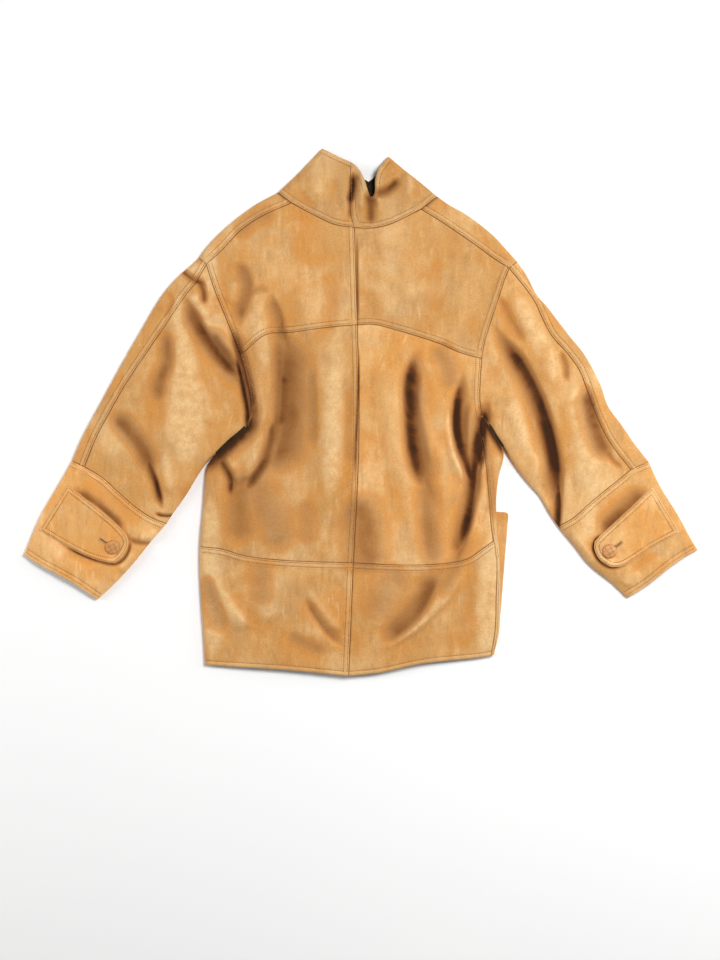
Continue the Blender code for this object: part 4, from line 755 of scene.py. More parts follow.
def skins(grid, layer, seams=(), on_edge=None, edge_shift=0.0, extra=None):
    """Outer and inner skin of a plan grid, on the upper (+1) or lower (-1) layer."""
    shape = grid.shape[:2]
    places = grid.reshape(-1, 2)
    distance, away = fold_edge(places)
    reach = ROLL_REACH_UPPER if layer > 0 else ROLL_REACH_LOWER
    turn = np.arccos(1.0 - np.clip(distance / reach, 0.0, 1.0))
    if on_edge is not None:
        turn = np.where(on_edge.reshape(-1), 0.0, turn)
    detail, close = seam_detail(places, seams)
    if layer > 0:
        level, hollow, crest = upper_height(places, distance)
        height = ROLL_MIDDLE + (level - ROLL_MIDDLE) * np.sin(turn)
    else:
        creases, hollow, crest = fold_relief(places, LOWER_LINES)
        height = ROLL_MIDDLE * (1.0 - np.sin(turn))
        lift = np.maximum(lower_lift(places), -creases)
        if extra is not None:
            lift = lift + extra.reshape(-1)
        height = height + lift * np.sin(turn)
        detail = np.minimum(detail, 0.0)
    if on_edge is not None:
        height = np.where(on_edge.reshape(-1), ROLL_MIDDLE + edge_shift, height)
    outer = np.column_stack([places, height])
    inward = np.column_stack([away * np.cos(turn)[:, None], -layer * np.sin(turn)])
    inner = outer + WALL * inward
    outer = outer - inward * (detail * ease(distance / 6.0))[:, None]
    # Marks: painted shade, painted highlight, seam wear (+) and seam painted shade (-).
    marks = np.column_stack([hollow, crest, close * FULL_MARK])
    return (outer.reshape(*shape, 3), inner.reshape(*shape, 3), marks.reshape(*shape, 3))


# ------------------------------------------------------------------ plan grids

SEAM_LINES = (0.15, 0.6, 1.3, 2.0, 2.6, 3.3, 4.5, 6.2, 7.7, 8.5, 9.2, 9.9, 11.0, 12.8)
FOLD_EDGE_LINES = (0.0, 0.3, 0.8, 1.4, 2.2, 3.1, 4.1, 5.2, 6.4, 7.7, 9.1, 10.6, 12.2, 14.0)
NARROW_FOLD_LINES = (0.0, 0.8, 2.0, 3.8)
MOUTH_LINES = (0.0, 0.6, 1.6, 2.8, 4.2, 5.4, 6.6, 8.0, 9.4, 10.9, 12.4, 13.9)
LOWER_EDGE_LINES = (0.8, 2.5, 5.0, 9.0)
ACROSS, UP = ("west", "east"), ("south", "north")
WEST, EAST = np.s_[:, 0], np.s_[:, -1]


class Patch:
    """A plan patch between four lines: v goes up from south, u across from west."""

    def __init__(self, south, north, west, east):
        self.lines = south, north, west, east
        self.corners = [line.at([end])[0] for line in (south, north) for end in (0.0, 1.0)]
        self.wide = (south.length + north.length) / 2.0
        self.tall = (west.length + east.length) / 2.0

    def at(self, u, v):
        u, v = np.broadcast_arrays(u, v)
        low, high, first, last = [line.at(share) for line, share
                                  in zip(self.lines, (u, u, v, v))]
        u, v = u[..., None], v[..., None]
        a, b, c, d = self.corners
        corners = (1 - u) * (1 - v) * a + u * (1 - v) * b + (1 - u) * v * c + u * v * d
        return (1 - v) * low + v * high + (1 - u) * first + u * last - corners


def border_shares(patch, side, places, distances):
    """Shares at which a patch is the given distances from a side, at each place on it."""
    step = 0.004
    low = side in ("west", "south")
    border, inside = [patch.at(*((share, places) if side in ACROSS else (places, share)))
                      for share in ((0.0, step) if low else (1.0, 1.0 - step))]
    across = inside - border
    run = np.gradient(border, axis=0)
    run /= np.hypot(*run.T)[:, None]
    gap = np.abs(across[:, 0] * run[:, 1] - across[:, 1] * run[:, 0]) / step
    gap = np.maximum(gap, 0.6 * np.median(gap))
    if len(gap) > 24:
        gap = np.convolve(np.pad(gap, 6, "edge"), np.full(13, 1.0 / 13.0), "valid")
    if callable(distances):
        return distances(places) / gap[:, None]
    return np.array(distances)[None] / gap[:, None]


def between(patch, sides, lines, places, step=UPPER_STEP, marks=(), counts=None):
    """Shares from one side of a patch to the other, at each place along them.

    They keep the given lines near both sides, and fill evenly between the marks.
    """
    first, last = [border_shares(patch, side, places, distances)
                   for side, distances in zip(sides, lines)]
    length = patch.wide if sides == ACROSS else patch.tall
    knots = [first[:, -1:]] + [np.full((len(first), 1), mark) for mark in marks]
    knots.append(1.0 - last[:, -1:])
    columns, used = [first], []
    for low, high in zip(knots, knots[1:]):
        count = max(1, math.ceil(float((high - low).mean()) * length / step))
        count = counts[len(used)] if counts else count
        used.append(count)
        columns.append(low + (high - low) * np.linspace(0.0, 1.0, count + 1)[None, 1:])
    columns[-1] = columns[-1][:, :-1]
    columns.append(1.0 - last[:, ::-1])
    return np.concatenate(columns, axis=1), used


def fine_grid(patch, step, west, east, south, north, marks_u=(), marks_v=()):
    """A grid whose lines keep the given distances from the four sides."""
    def rows_at(u, counts=None):
        return between(patch, UP, (south, north), u, step, marks_v, counts)

    def columns_at(v, counts=None):
        return between(patch, ACROSS, (west, east), v, step, marks_u, counts)

    v, tall_counts = rows_at(np.linspace(0.02, 0.98, 9))
    u, wide_counts = columns_at(v.mean(axis=0))
    v = rows_at(u.mean(axis=0), tall_counts)[0].T
    u = columns_at(v.mean(axis=1), wide_counts)[0]
    return patch.at(u, v), u, v


def shares(length, step, marks=(), first=(), last=()):
    """Shares along one side: its marks, lines near its ends, and even filling."""
    knots = sorted({0.0, 1.0, *marks, *(place / length for place in first),
                    *(1.0 - place / length for place in last)})
    result = [0.0]
    for low, high in zip(knots, knots[1:]):
        count = max(1, math.ceil((high - low) * length / step - 0.25))
        result.extend(np.linspace(low, high, count + 1)[1:])
    return np.array(result)


# ------------------------------------------------------------------- cut pieces

def placed(name, data):
    """A new object in the scene."""
    thing = bpy.data.objects.new(name, data)
    bpy.context.scene.collection.objects.link(thing)
    return thing


def smooth_mesh(name, points, faces, materials):
    """A smoothly shaded mesh of points in mm."""
    mesh = bpy.data.meshes.new(name)
    mesh.from_pydata((points * MM).tolist(), [], faces)
    mesh.polygons.foreach_set("use_smooth", np.ones(len(faces), bool))
    for made in materials:
        mesh.materials.append(made)
    return mesh


def note(mesh, name, values):
    """Three numbers for every point of a mesh, for its materials to read."""
    made = mesh.attributes.new(name, "FLOAT_VECTOR", "POINT")
    made.data.foreach_set("vector", values.astype(np.float32).reshape(-1))


class Piece:
    """One cut piece: grids joined where their points agree, with both skins."""

    def __init__(self, *layers):
        self.stores, self.faces = ([], [], []), []
        self.count = 0
        for layer in layers:
            self.add(layer)

    def add(self, layer):
        rows, columns = layer[0].shape[:2]
        index = self.count + np.arange(rows * columns).reshape(rows, columns)
        quads = np.stack([index[:-1, :-1], index[:-1, 1:], index[1:, 1:], index[1:, :-1]],
                         axis=-1)
        self.faces.append(quads.reshape(-1, 4))
        for store, values in zip(self.stores, layer):
            store.append(values.reshape(-1, 3))
        self.count += rows * columns

    def build(self, name, materials, tone=(0.0, 0.0, 0.0)):
        outer, inner, marks = [np.concatenate(store) for store in self.stores]
        _, keep, where = np.unique(np.round(outer, 2), axis=0, return_index=True,
                                   return_inverse=True)
        quads = where.reshape(-1)[np.concatenate(self.faces)]
        outer, inner, marks = outer[keep], inner[keep], marks[keep]
        count = len(outer)
        edges = np.stack([quads, np.roll(quads, -1, axis=1)], axis=-1).reshape(-1, 2)
        edges = edges[edges[:, 0] != edges[:, 1]]
        ordered = np.sort(edges, axis=1)
        _, first, uses = np.unique(ordered, axis=0, return_index=True, return_counts=True)
        rim = edges[first[uses == 1]]
        top = [tuple(dict.fromkeys(quad)) for quad in quads.tolist()]
        top = [face for face in top if len(face) > 2]
        faces = top + [tuple(i + count for i in reversed(face)) for face in top]
        faces += [(b, a, a + count, b + count) for a, b in rim.tolist()]
        mesh = smooth_mesh(name, np.concatenate([outer, inner]), faces, materials)
        kinds = np.zeros(len(faces), np.int32)
        kinds[len(top):2 * len(top)] = 1
        mesh.polygons.foreach_set("material_index", kinds)
        # Painted shade, painted highlight and seam marks, for the outer skin only.
        note(mesh, "relief", np.concatenate([marks, marks * 0.0]))
        note(mesh, "panel", np.tile(tone, 2 * count))
        bm = bmesh.new()
        bm.from_mesh(mesh)
        bmesh.ops.recalc_face_normals(bm, faces=bm.faces)
        bm.to_mesh(mesh)
        bm.free()
        return placed(name, mesh)


def mask(grid, *parts):
    """Which points of a grid lie on a fold edge."""
    chosen = np.zeros(grid.shape[:2], bool)
    for part in parts:
        chosen[part] = True
    return chosen


def raise_part(layer, part, amount):
    """Raise part of a grid, in both skins."""
    for skin in layer[:2]:
        skin[part][..., 2] += amount


def index_of(values, value):
    """Where the nearest of the values is."""
    return int(np.abs(values - value).argmin())


def join(target, source, target_part, source_part):
    """Give one grid's border the points of another's, in both skins and the marks."""
    for to, of in zip(target, source):
        to[target_part] = of[source_part]


def over_if(condition):
    """A panel's role at a centre seam: its edge lies over or under the other one's."""
    return "over" if condition else "under"


def seams_of(line, **roles):
    """Seams and their roles, from the names of a side's lines."""
    return [(line[name], role) for name, role in roles.items()]


def upper_body(side):
    """The yoke, the back panel and the hem band of one side."""
    line = lines_of(side)
    on_left = side == "left"
    centre = over_if(on_left)

    top = chain(line["shoulder_seam"], line["neck"])
    patch = Patch(line["yoke_seam"], top, line["armhole_high"], line["centre_yoke"])
    grid, _, _ = fine_grid(patch, UPPER_STEP, *[SEAM_LINES] * 4, marks_u=top.joins)
    yoke = Piece(skins(grid, +1, seams_of(
        line, armhole_high="over", yoke_seam="over", shoulder_seam="under", neck="under",
        centre_yoke=centre)))

    west = chain(line["side_seam_high"], line["armhole_low"])
    corner = west.joins

    def mixed(places):
        share = ease((corner[0] - places) / 0.06 + 1.0)[:, None] if on_left else 0.0
        rows = np.tile(SEAM_LINES, (len(places), 1))
        return rows + (np.array(FOLD_EDGE_LINES) - rows) * share

    patch = Patch(line["band_seam"], line["yoke_seam"], west, line["centre_back"])
    grid, _, v = fine_grid(patch, UPPER_STEP, mixed, *[SEAM_LINES] * 3, marks_v=corner)
    folded = mask(grid)
    if on_left:
        folded[:index_of(v[:, 0], corner[0]) + 1, 0] = True
    seams = seams_of(line, band_seam="under", yoke_seam="under", armhole_low="over",
                     centre_back=centre)
    if not on_left:
        seams += seams_of(line, side_seam_high="under")
    back = Piece(skins(grid, +1, seams, folded, HALF_GAP))

    patch = Patch(line["hem"], line["band_seam"], line["side_seam_low"], line["centre_band"])
    grid, _, _ = fine_grid(patch, UPPER_STEP, FOLD_EDGE_LINES if on_left else SEAM_LINES,
                           SEAM_LINES, MOUTH_LINES, SEAM_LINES)
    seams = seams_of(line, hem="mouth", band_seam="over", centre_band=centre)
    if not on_left:
        seams += seams_of(line, side_seam_low="under")
    folded = mask(grid, WEST) if on_left else None
    band = Piece(skins(grid, +1, seams, folded, HALF_GAP))
    return {f"back_yoke_{side}": yoke, f"back_{side}": back, f"back_band_{side}": band}


def closing_column(place):
    """A straight line from hem to neck, at a distance from the centre to the right."""
    line = lines_of("right" if place > 0 else "left")
    return Line([line[name].before_end(abs(place)) for name in ("hem", "neck_front")])


def front(side):
    """A front: the lower layer, and its turns over the shoulder and the side."""
    line = lines_of(side)
    on_left = side == "left"
    west = chain(line["side"], line["armhole_low"], line["armhole_high"],
                 line["shoulder_stub"].reversed())
    start = LAP + LAP_RAMP if on_left else LAP
    edge = line["shoulder_edge"]
    north = chain(edge, line["neck_front"].without_end(start))
    hem = line["hem"].without_end(start)
    if not on_left:
        hem = chain(Line([CORNERS[side]["hem"], CORNERS[side]["side_hem"]]), hem)
    across = shares(north.length, LOWER_STEP, north.joins, first=(1.0, 2.5, 5.0, 10.0))
    up = shares(west.length, LOWER_STEP, west.joins, first=(0.6, 1.8, 4.0, 7.4, 11.0))
    patch = Patch(hem, north, west, closing_column(-start if on_left else start))
    grid = patch.at(across[None], up[:, None])
    underarm, neck_column = index_of(up, west.joins[0]), index_of(across, north.joins[0])
    by_side, by_shoulder = np.s_[:underarm + 1, 0], np.s_[-1, :neck_column + 1]
    seams = seams_of(line, hem="mouth", armhole_low="over", armhole_high="over",
                     neck_front="under")
    lower = skins(grid, -1, seams, mask(grid, by_side, by_shoulder))
    if on_left:
        raise_part(lower, by_side, -HALF_GAP)
    piece = Piece(lower)

    # The turn over the shoulder, up to the shoulder seam.
    patch = Patch(edge, line["shoulder_seam"], line["shoulder_stub"], line["neck_stub"])
    u = across[:neck_column + 1] / across[neck_column]
    turn = patch.at(u[None], between(patch, UP, (NARROW_FOLD_LINES, SEAM_LINES), u)[0].T)
    seams = seams_of(line, shoulder_seam="over", shoulder_stub="over", neck_stub="under")
    turned = skins(turn, +1, seams, mask(turn, 0))
    join(turned, lower, 0, by_shoulder)
    piece.add(turned)

    # The closing strip, raised on the left front, which lies inside the right one.
    places = list(np.linspace(-LAP, LAP, 17))
    if on_left:
        places = list(np.linspace(-start, -LAP, 5)) + places[1:]
    strip = np.stack([closing_column(place).at(up) for place in places], axis=1)
    column = WEST if on_left else EAST
    strip[column] = grid[EAST]
    raised = np.zeros(strip.shape[:2])
    if on_left:
        raised[:] = (WALL + SEAM_GAP) * ease((np.array(places) + start) / LAP_RAMP)
    strip_skins = skins(strip, -1, seams_of(line, hem="mouth"), extra=raised)
    join(strip_skins, lower, column, EAST)
    piece.add(strip_skins)

    # The turn over the right side, up to the side seam on the upper layer.
    if not on_left:
        seam_points = line["side_seam"].at(up[:underarm + 1] / up[underarm])
        share = np.linspace(0.0, 1.0, 13)[None, :, None]
        turn = (1.0 - share) * grid[:underarm + 1, :1] + share * seam_points[:, None]
        seams = seams_of(line, side_seam_low="over", side_seam_high="over")
        turned = skins(turn, +1, seams, mask(turn, -1, WEST))
        join(turned, lower, WEST, by_side)
        for skin in turned:
            skin[-1] = skin[-1, :1]
        piece.add(turned)
    return {f"front_{side}": piece}


def sleeve(side):
    """The sleeve's back and front panels and its cuff, one tube laid flat."""
    line = lines_of(side)
    armhole = chain(line["armhole_high"].reversed(), line["armhole_low"].reversed())
    patch = Patch(armhole, line["cuff_seam"], line["sleeve_seam"], line["sleeve_fold"])
    grid, _, _ = fine_grid(patch, UPPER_STEP, SEAM_LINES, FOLD_EDGE_LINES, SEAM_LINES,
                           SEAM_LINES)
    seams = seams_of(line, armhole_high="under", armhole_low="under", cuff_seam="under",
                     sleeve_seam="under")
    back = Piece(skins(grid, +1, seams, mask(grid, EAST), HALF_GAP))

    start, end = chain(line["shoulder_stub"], armhole), line["whole_cuff_seam"]
    patch = Patch(start, end, line["sleeve_edge"], line["sleeve_fold"])
    up = shares(patch.tall, 4.0, first=SEAM_LINES, last=SEAM_LINES)[1:-1]
    across = shares(patch.wide, LOWER_STEP, (*start.joins, *end.joins), LOWER_EDGE_LINES,
                    LOWER_EDGE_LINES)
    grid = patch.at(across[None], up[:, None])
    lower = skins(grid, -1, [], mask(grid, WEST, EAST))
    raise_part(lower, EAST, -HALF_GAP)

    patch = Patch(line["shoulder_stub"].reversed(), line["cuff_stub"].reversed(),
                  line["sleeve_seam"], line["sleeve_edge"])
    u = between(patch, ACROSS, (SEAM_LINES, NARROW_FOLD_LINES), up)[0]
    turn = patch.at(u, up[:, None])
    seams = seams_of(line, sleeve_seam="over", shoulder_stub="under", cuff_stub="under")
    turned = skins(turn, +1, seams, mask(turn, EAST))
    join(turned, lower, EAST, WEST)
    front_piece = Piece(lower, turned)

    patch = Patch(end, line["cuff_mouth"], line["cuff_edge"], line["cuff_fold"])
    grid, _, v = fine_grid(patch, UPPER_STEP, FOLD_EDGE_LINES, FOLD_EDGE_LINES, SEAM_LINES,
                           MOUTH_LINES, marks_u=end.joins)
    seams = seams_of(line, cuff_seam="over", cuff_stub="over", cuff_mouth="cuff")
    upper = skins(grid, +1, seams, mask(grid, WEST, EAST))
    share = shares(patch.wide, LOWER_STEP, (), LOWER_EDGE_LINES, LOWER_EDGE_LINES)
    grid = patch.at(share[None], v[:, :1] + (v[:, -1:] - v[:, :1]) * share[None])
    lower = skins(grid, -1, seams, mask(grid, WEST, EAST))
    raise_part(lower, EAST, -HALF_GAP)
    join(upper, lower, WEST, WEST)
    raise_part(upper, EAST, HALF_GAP)
    return {f"sleeve_back_{side}": back, f"sleeve_front_{side}": front_piece,
            f"cuff_{side}": Piece(lower, upper)}


def collar(side):
    """Half of the stand collar: its back, its fold edge, and its front end below."""
    line = lines_of(side)
    seam = line["whole_neck"]
    patch = Patch(seam, line["collar_top"], line["collar_edge"], line["centre_collar"])
    grid, _, v = fine_grid(patch, UPPER_STEP * 0.7, FOLD_EDGE_LINES, SEAM_LINES, SEAM_LINES,
                           MOUTH_LINES, marks_u=seam.joins)
    seams = seams_of(line, neck="over", neck_stub="over", collar_top="mouth",
                     centre_collar=over_if(side == "right"))
    upper = skins(grid, +1, seams, mask(grid, WEST))
    patch = Patch(line["neck_front"], line["collar_front_top"], line["collar_edge"],
                  line["centre_collar_front"])
    share = shares(patch.wide, LOWER_STEP, (), LOWER_EDGE_LINES)
    share[-1] -= HALF_GAP / patch.wide
    rows = v[:, :1] + (np.linspace(v[0, 0], 1.0, len(v))[:, None] - v[:, :1]) * share[None]
    grid = patch.at(share[None], rows)
    lower = skins(grid, -1, [], mask(grid, WEST))
    join(upper, lower, WEST, WEST)
    return {f"collar_{side}": Piece(lower, upper)}


# ------------------------------------------------------------------- materials

# Colours in linear light: of the suede, its inner side, the thread, the buttons, the floor.
TAN = (0.67, 0.355, 0.118)
# PALE is a tone of the suede, and also its painted highlight on crests.
PALE = (0.93, 0.63, 0.31)
# ORANGE is a tone of the suede, and also the painted orange rim round painted shade.
ORANGE = (0.70, 0.285, 0.055)
GREY = (0.56, 0.32, 0.14)
# DULL is a tone of the suede's streaks, and also soft painted shade in shallow troughs.
DULL = (0.47, 0.215, 0.066)
# BROWN, DEEP and DARKEST are painted shade, deeper in deeper troughs and crevices; DEEP is
# also painted shadow along lap edges.
BROWN = (0.36, 0.145, 0.036)
RUBBED = (0.74, 0.47, 0.215)
DEEP = (0.17, 0.048, 0.008)
DARKEST = (0.035, 0.012, 0.003)
# The inner side: a dark lining colour made near black, as painted shade for the insides.
INNER = (0.020, 0.013, 0.006)
INNER_PALE = (0.052, 0.035, 0.014)
# The thread's brown is darkened as painted shade of its stitch holes.
THREAD = (0.20, 0.062, 0.013)
THREAD_PALE = (0.46, 0.20, 0.055)
LEATHER = (0.50, 0.205, 0.055)
LEATHER_PALE = (0.64, 0.30, 0.095)
# Painted shade between a button's strips, and a painted highlight on their crowns.
LEATHER_DEEP = (0.20, 0.065, 0.015)
LEATHER_PAINTED_HIGHLIGHT = (0.78, 0.42, 0.15)
FLOOR = (0.985, 0.985, 0.985)
FLOOR_PALE = (0.995, 0.995, 0.99)


class Graph:
    """A short way to write a node material."""

    def __init__(self, name):
        self.material = bpy.data.materials.new(name)
        self.material.use_nodes = True
        self.tree = self.material.node_tree
        self.shader = self.tree.nodes["Principled BSDF"]
        self.place = self.node("ShaderNodeTexCoord").outputs["Object"]

    def node(self, kind, settings=None, **inputs):
        made = self.tree.nodes.new(kind)
        for name, value in (settings or {}).items():
            setattr(made, name, value)
        for name, value in inputs.items():
            self.feed(made.inputs[name.replace("_", " ")], value)
        return made

    def feed(self, socket, value):
        if isinstance(value, bpy.types.NodeSocket):
            self.tree.links.new(value, socket)
        elif hasattr(value, "__len__") and socket.type == "RGBA" and len(value) == 3:
            socket.default_value = (*value, 1.0)
        else:
            socket.default_value = value

    def noise(self, place, scale, detail=3.0, roughness=0.5, distortion=0.0):
        return self.node("ShaderNodeTexNoise", Vector=place, Scale=scale, Detail=detail,
                         Roughness=roughness, Distortion=distortion).outputs["Fac"]

    def math(self, operation, first, second):
        made = self.node("ShaderNodeMath", dict(operation=operation))
        for socket, value in zip(made.inputs, (first, second)):
            self.feed(socket, value)
        return made.outputs[0]

    def times(self, first, second):
        return self.math("MULTIPLY", first, second)

    def plus(self, first, second):
        return self.math("ADD", first, second)

    def between(self, value, low, high, start=0.0, end=1.0):
        made = self.node("ShaderNodeMapRange", dict(interpolation_type="SMOOTHSTEP"),
                         Value=value, From_Min=low, From_Max=high, To_Min=start, To_Max=end)
        return made.outputs["Result"]

    def mix(self, share, first, second, blend="MIX"):
        made = self.node("ShaderNodeMix", dict(data_type="RGBA", blend_type=blend))
        self.feed(made.inputs["Factor"], share)
        self.feed(made.inputs[6], first)
        self.feed(made.inputs[7], second)
        return made.outputs[2]

    def layered(self, colour, *colour_layers):
        """A colour under others: value, where it starts and ends, shares there, colour."""
        for value, low, high, start, end, top_colour in colour_layers:
            colour = self.mix(self.between(value, low, high, start, end), colour, top_colour)
        return colour

    def noted(self, name):
        """The three numbers that each point of the mesh carries under a name."""
        made = self.node("ShaderNodeAttribute", dict(attribute_name=name))
        return self.node("ShaderNodeSeparateXYZ", Vector=made.outputs["Vector"]).outputs

    def moved(self, place, offset, scale=(1.0, 1.0, 1.0), turn=0.0):
        return self.node("ShaderNodeMapping", Vector=place, Location=offset, Scale=scale,
                         Rotation=(0.0, 0.0, turn)).outputs["Vector"]

    def bump(self, height, strength, distance):
        return self.node("ShaderNodeBump", Height=height, Strength=strength,
                         Distance=distance).outputs["Normal"]

    def finish(self, **inputs):
        for name, value in inputs.items():
            self.feed(self.shader.inputs[name.replace("_", " ")], value)
        return self.material


def suede(name):
    """Mottled suede: soft patches of tan, orange and grey, worn pale at its seams.

    Its crests get a painted highlight with some wear, its troughs and seams painted shade.
    """
    g = Graph(name)
    # Painted shade, painted highlight, and seam wear (+) with painted shade (-).
    hollow_mark, crest, seam = g.noted("relief")
    brightness, move_x, move_y = g.noted("panel")
    shifted = g.node("ShaderNodeVectorMath", dict(operation="ADD"))
    g.feed(shifted.inputs[0], g.place)
    offset = g.node("ShaderNodeCombineXYZ", X=move_x, Y=move_y)
    g.feed(shifted.inputs[1], offset.outputs["Vector"])
    place = shifted.outputs["Vector"]

    broad = g.noise(g.moved(place, (3.1, 0.0, 0.0), (1.5, 0.75, 1.0)), 6.0, 3.0, 0.5, 0.4)
    patches = g.noise(g.moved(place, (0.0, 5.2, 0.0)), 15.0, 4.0, 0.55, 0.6)
    cloud = g.noise(g.moved(place, (8.0, 2.0, 0.0)), 10.0, 4.0, 0.55, 0.3)
    mottle = g.noise(place, 70.0, 4.0, 0.65)
    speckle = g.noise(place, 330.0, 3.0, 0.7)
    nap = g.noise(place, 900.0, 2.0, 0.6)
    drawn_out = g.moved(place, (1.0, 4.0, 0.0), (1.0, 0.28, 1.0), 0.25)
    streaks = g.noise(drawn_out, 85.0, 4.0, 0.6, 0.5)

    # The strength of the painted shade, broken up at its edges by patches.
    torn = g.plus(g.times(patches, 0.9), g.times(mottle, 0.1))
    hollow = g.times(hollow_mark, g.between(torn, 0.36, 0.62, 0.86, 1.06))
    warm = g.plus(g.times(broad, 0.55), g.times(patches, 0.45))
    colour = g.layered(TAN,
                       (warm, 0.40, 0.66, 0.0, 0.70, ORANGE),
                       (cloud, 0.44, 0.70, 0.0, 0.55, PALE),
                       (patches, 0.32, 0.50, 0.42, 0.0, GREY),
                       (mottle, 0.35, 0.75, 0.0, 0.26, ORANGE),
                       (streaks, 0.48, 0.74, 0.0, 0.42, DULL),
                       (streaks, 0.26, 0.44, 0.34, 0.0, PALE))
    # A painted highlight on the crests, with some wear.
    wear_and_painted_light = g.times(g.between(crest, 0.5, 8.5), g.between(mottle, 0.3, 0.7, 0.3, 0.82))
    colour = g.mix(wear_and_painted_light, colour, PALE)
    worn = g.times(g.between(seam, 0.0, 8.0, 0.0, 0.42),
                   g.between(mottle, 0.3, 0.65, 0.25, 1.0))
    colour = g.mix(worn, colour, RUBBED)
    # A painted orange rim round the edges of the painted shade.
    rim = g.times(g.between(hollow, 0.6, 2.4), g.between(hollow, 2.4, 5.0, 0.6, 0.0))
    colour = g.mix(rim, colour, ORANGE)
    # Soft painted shade in shallow troughs.
    dull = g.times(g.between(hollow, 0.8, 4.8), g.between(patches, 0.4, 0.6, 0.75, 0.4))
    colour = g.mix(dull, colour, DULL)
    # Painted shade, brown to near black in deep troughs and crevices.
    colour = g.layered(colour,
                       (hollow, 2.8, 7.0, 0.0, 0.80, BROWN),
                       (hollow, 5.0, 9.2, 0.0, 0.90, DEEP),
                       (hollow, 7.2, 10.4, 0.0, 0.92, DARKEST))
    # Painted shadow along lap edges and in stitch grooves.
    shaded = g.times(g.between(seam, -10.0, 0.0, 0.9, 0.0),
                     g.between(patches, 0.35, 0.6, 0.55, 1.0))
    colour = g.mix(shaded, colour, DEEP)
    tint = g.plus(g.between(speckle, 0.25, 0.75, 0.82, 0.99), brightness)
    colour = g.mix(1.0, colour, g.node("ShaderNodeCombineColor", Red=tint, Green=tint,
                                       Blue=tint).outputs["Color"], "MULTIPLY")
    height = g.plus(g.times(nap, 0.35), g.plus(speckle, g.times(mottle, 1.2)))
    return g.finish(Base_Color=colour, Roughness=g.between(mottle, 0.3, 0.7, 0.86, 0.96),
                    Normal=g.bump(height, 0.32, 0.0011), Sheen_Weight=0.22,
                    Sheen_Roughness=0.45, Sheen_Tint=(1.0, 0.85, 0.62),
                    Specular_IOR_Level=0.22)


def lining_and_painted_shade(name):
    """The inner side of the skin, in a dark olive-brown lining colour.

    It is made near black as painted shade for the shadowed insides.
    """
    g = Graph(name)
    patches = g.noise(g.place, 30.0, 3.0, 0.6)
    fibre = g.noise(g.place, 600.0, 3.0, 0.7)
    return g.finish(Base_Color=g.mix(g.between(patches, 0.35, 0.7), INNER, INNER_PALE),
                    Roughness=g.between(fibre, 0.3, 0.7, 0.85, 0.97),
                    Normal=g.bump(fibre, 0.4, 0.001), Specular_IOR_Level=0.2)


def thread(name, lighter=0.0):
    """Waxed sewing thread, a little uneven in colour along its run.

    Its brown is darkened as painted shade of the stitch holes.
    """
    g = Graph(name)
    along = g.noise(g.place, 260.0, 2.0, 0.6)
    colour = g.mix(g.between(along, 0.35, 0.65), THREAD, THREAD_PALE)
    return g.finish(Base_Color=g.mix(lighter, colour, RUBBED),
                    Roughness=g.between(along, 0.3, 0.7, 0.5, 0.7),
                    Normal=g.bump(g.noise(g.place, 1500.0, 1.0), 0.3, 0.0004),
                    Specular_IOR_Level=0.35)


def leather(name):
    """Polished brown leather of the woven buttons.

    It has painted shade between the strips and a painted highlight on their crowns.
    """
    g = Graph(name)
    patches = g.noise(g.place, 160.0, 4.0, 0.6)
    grain = g.node("ShaderNodeTexVoronoi", Vector=g.place, Scale=1400.0).outputs["Distance"]
    gap, crown, _ = g.noted("relief")
    colour = g.mix(g.between(patches, 0.35, 0.7), LEATHER, LEATHER_PALE)
    colour = g.layered(colour, (gap, 0.0, 10.0, 0.0, 0.7, LEATHER_DEEP),
                       (crown, 4.0, 10.0, 0.0, 0.30, LEATHER_PAINTED_HIGHLIGHT))
    return g.finish(Base_Color=colour, Roughness=g.between(patches, 0.3, 0.7, 0.38, 0.55),
                    Normal=g.bump(grain, 0.25, 0.0004), Specular_IOR_Level=0.5)


def pale_floor(name):
    """A pale, matt, very slightly mottled tabletop."""
    g = Graph(name)
    cloud = g.noise(g.place, 2.0, 3.0, 0.5)
    return g.finish(Base_Color=g.mix(g.between(cloud, 0.3, 0.7), FLOOR, FLOOR_PALE),
                    Roughness=0.9, Normal=g.bump(g.noise(g.place, 300.0, 2.0), 0.02, 0.0005),
                    Specular_IOR_Level=0.1)


# --------------------------------------------------------------------- stitches

def offset_points(line, way, distance):
    """Stitch places along a line, off to its right (+1) or left (-1), and their directions."""
    count = max(2, int(line.length / STITCH_PITCH))
    share = (np.arange(count) + 0.5) / count
    step = 0.4 / line.length
    run = line.at(np.minimum(share + step, 1.0)) - line.at(np.maximum(share - step, 0.0))
    run /= np.hypot(*run.T)[:, None]
    right = np.column_stack([run[:, 1], -run[:, 0]])
    return line.at(share) + right * way * distance, run


def on_skin(places, run, layer=+1, seams=()):
    """Points of the outer and inner skin, and the skin's direction over two runs."""
    grid = np.stack([places - run, places, places + run], axis=1)
    outer, inner, _ = skins(grid, layer, seams)
    return outer[:, 1], inner[:, 1], outer[:, 2] - outer[:, 0]


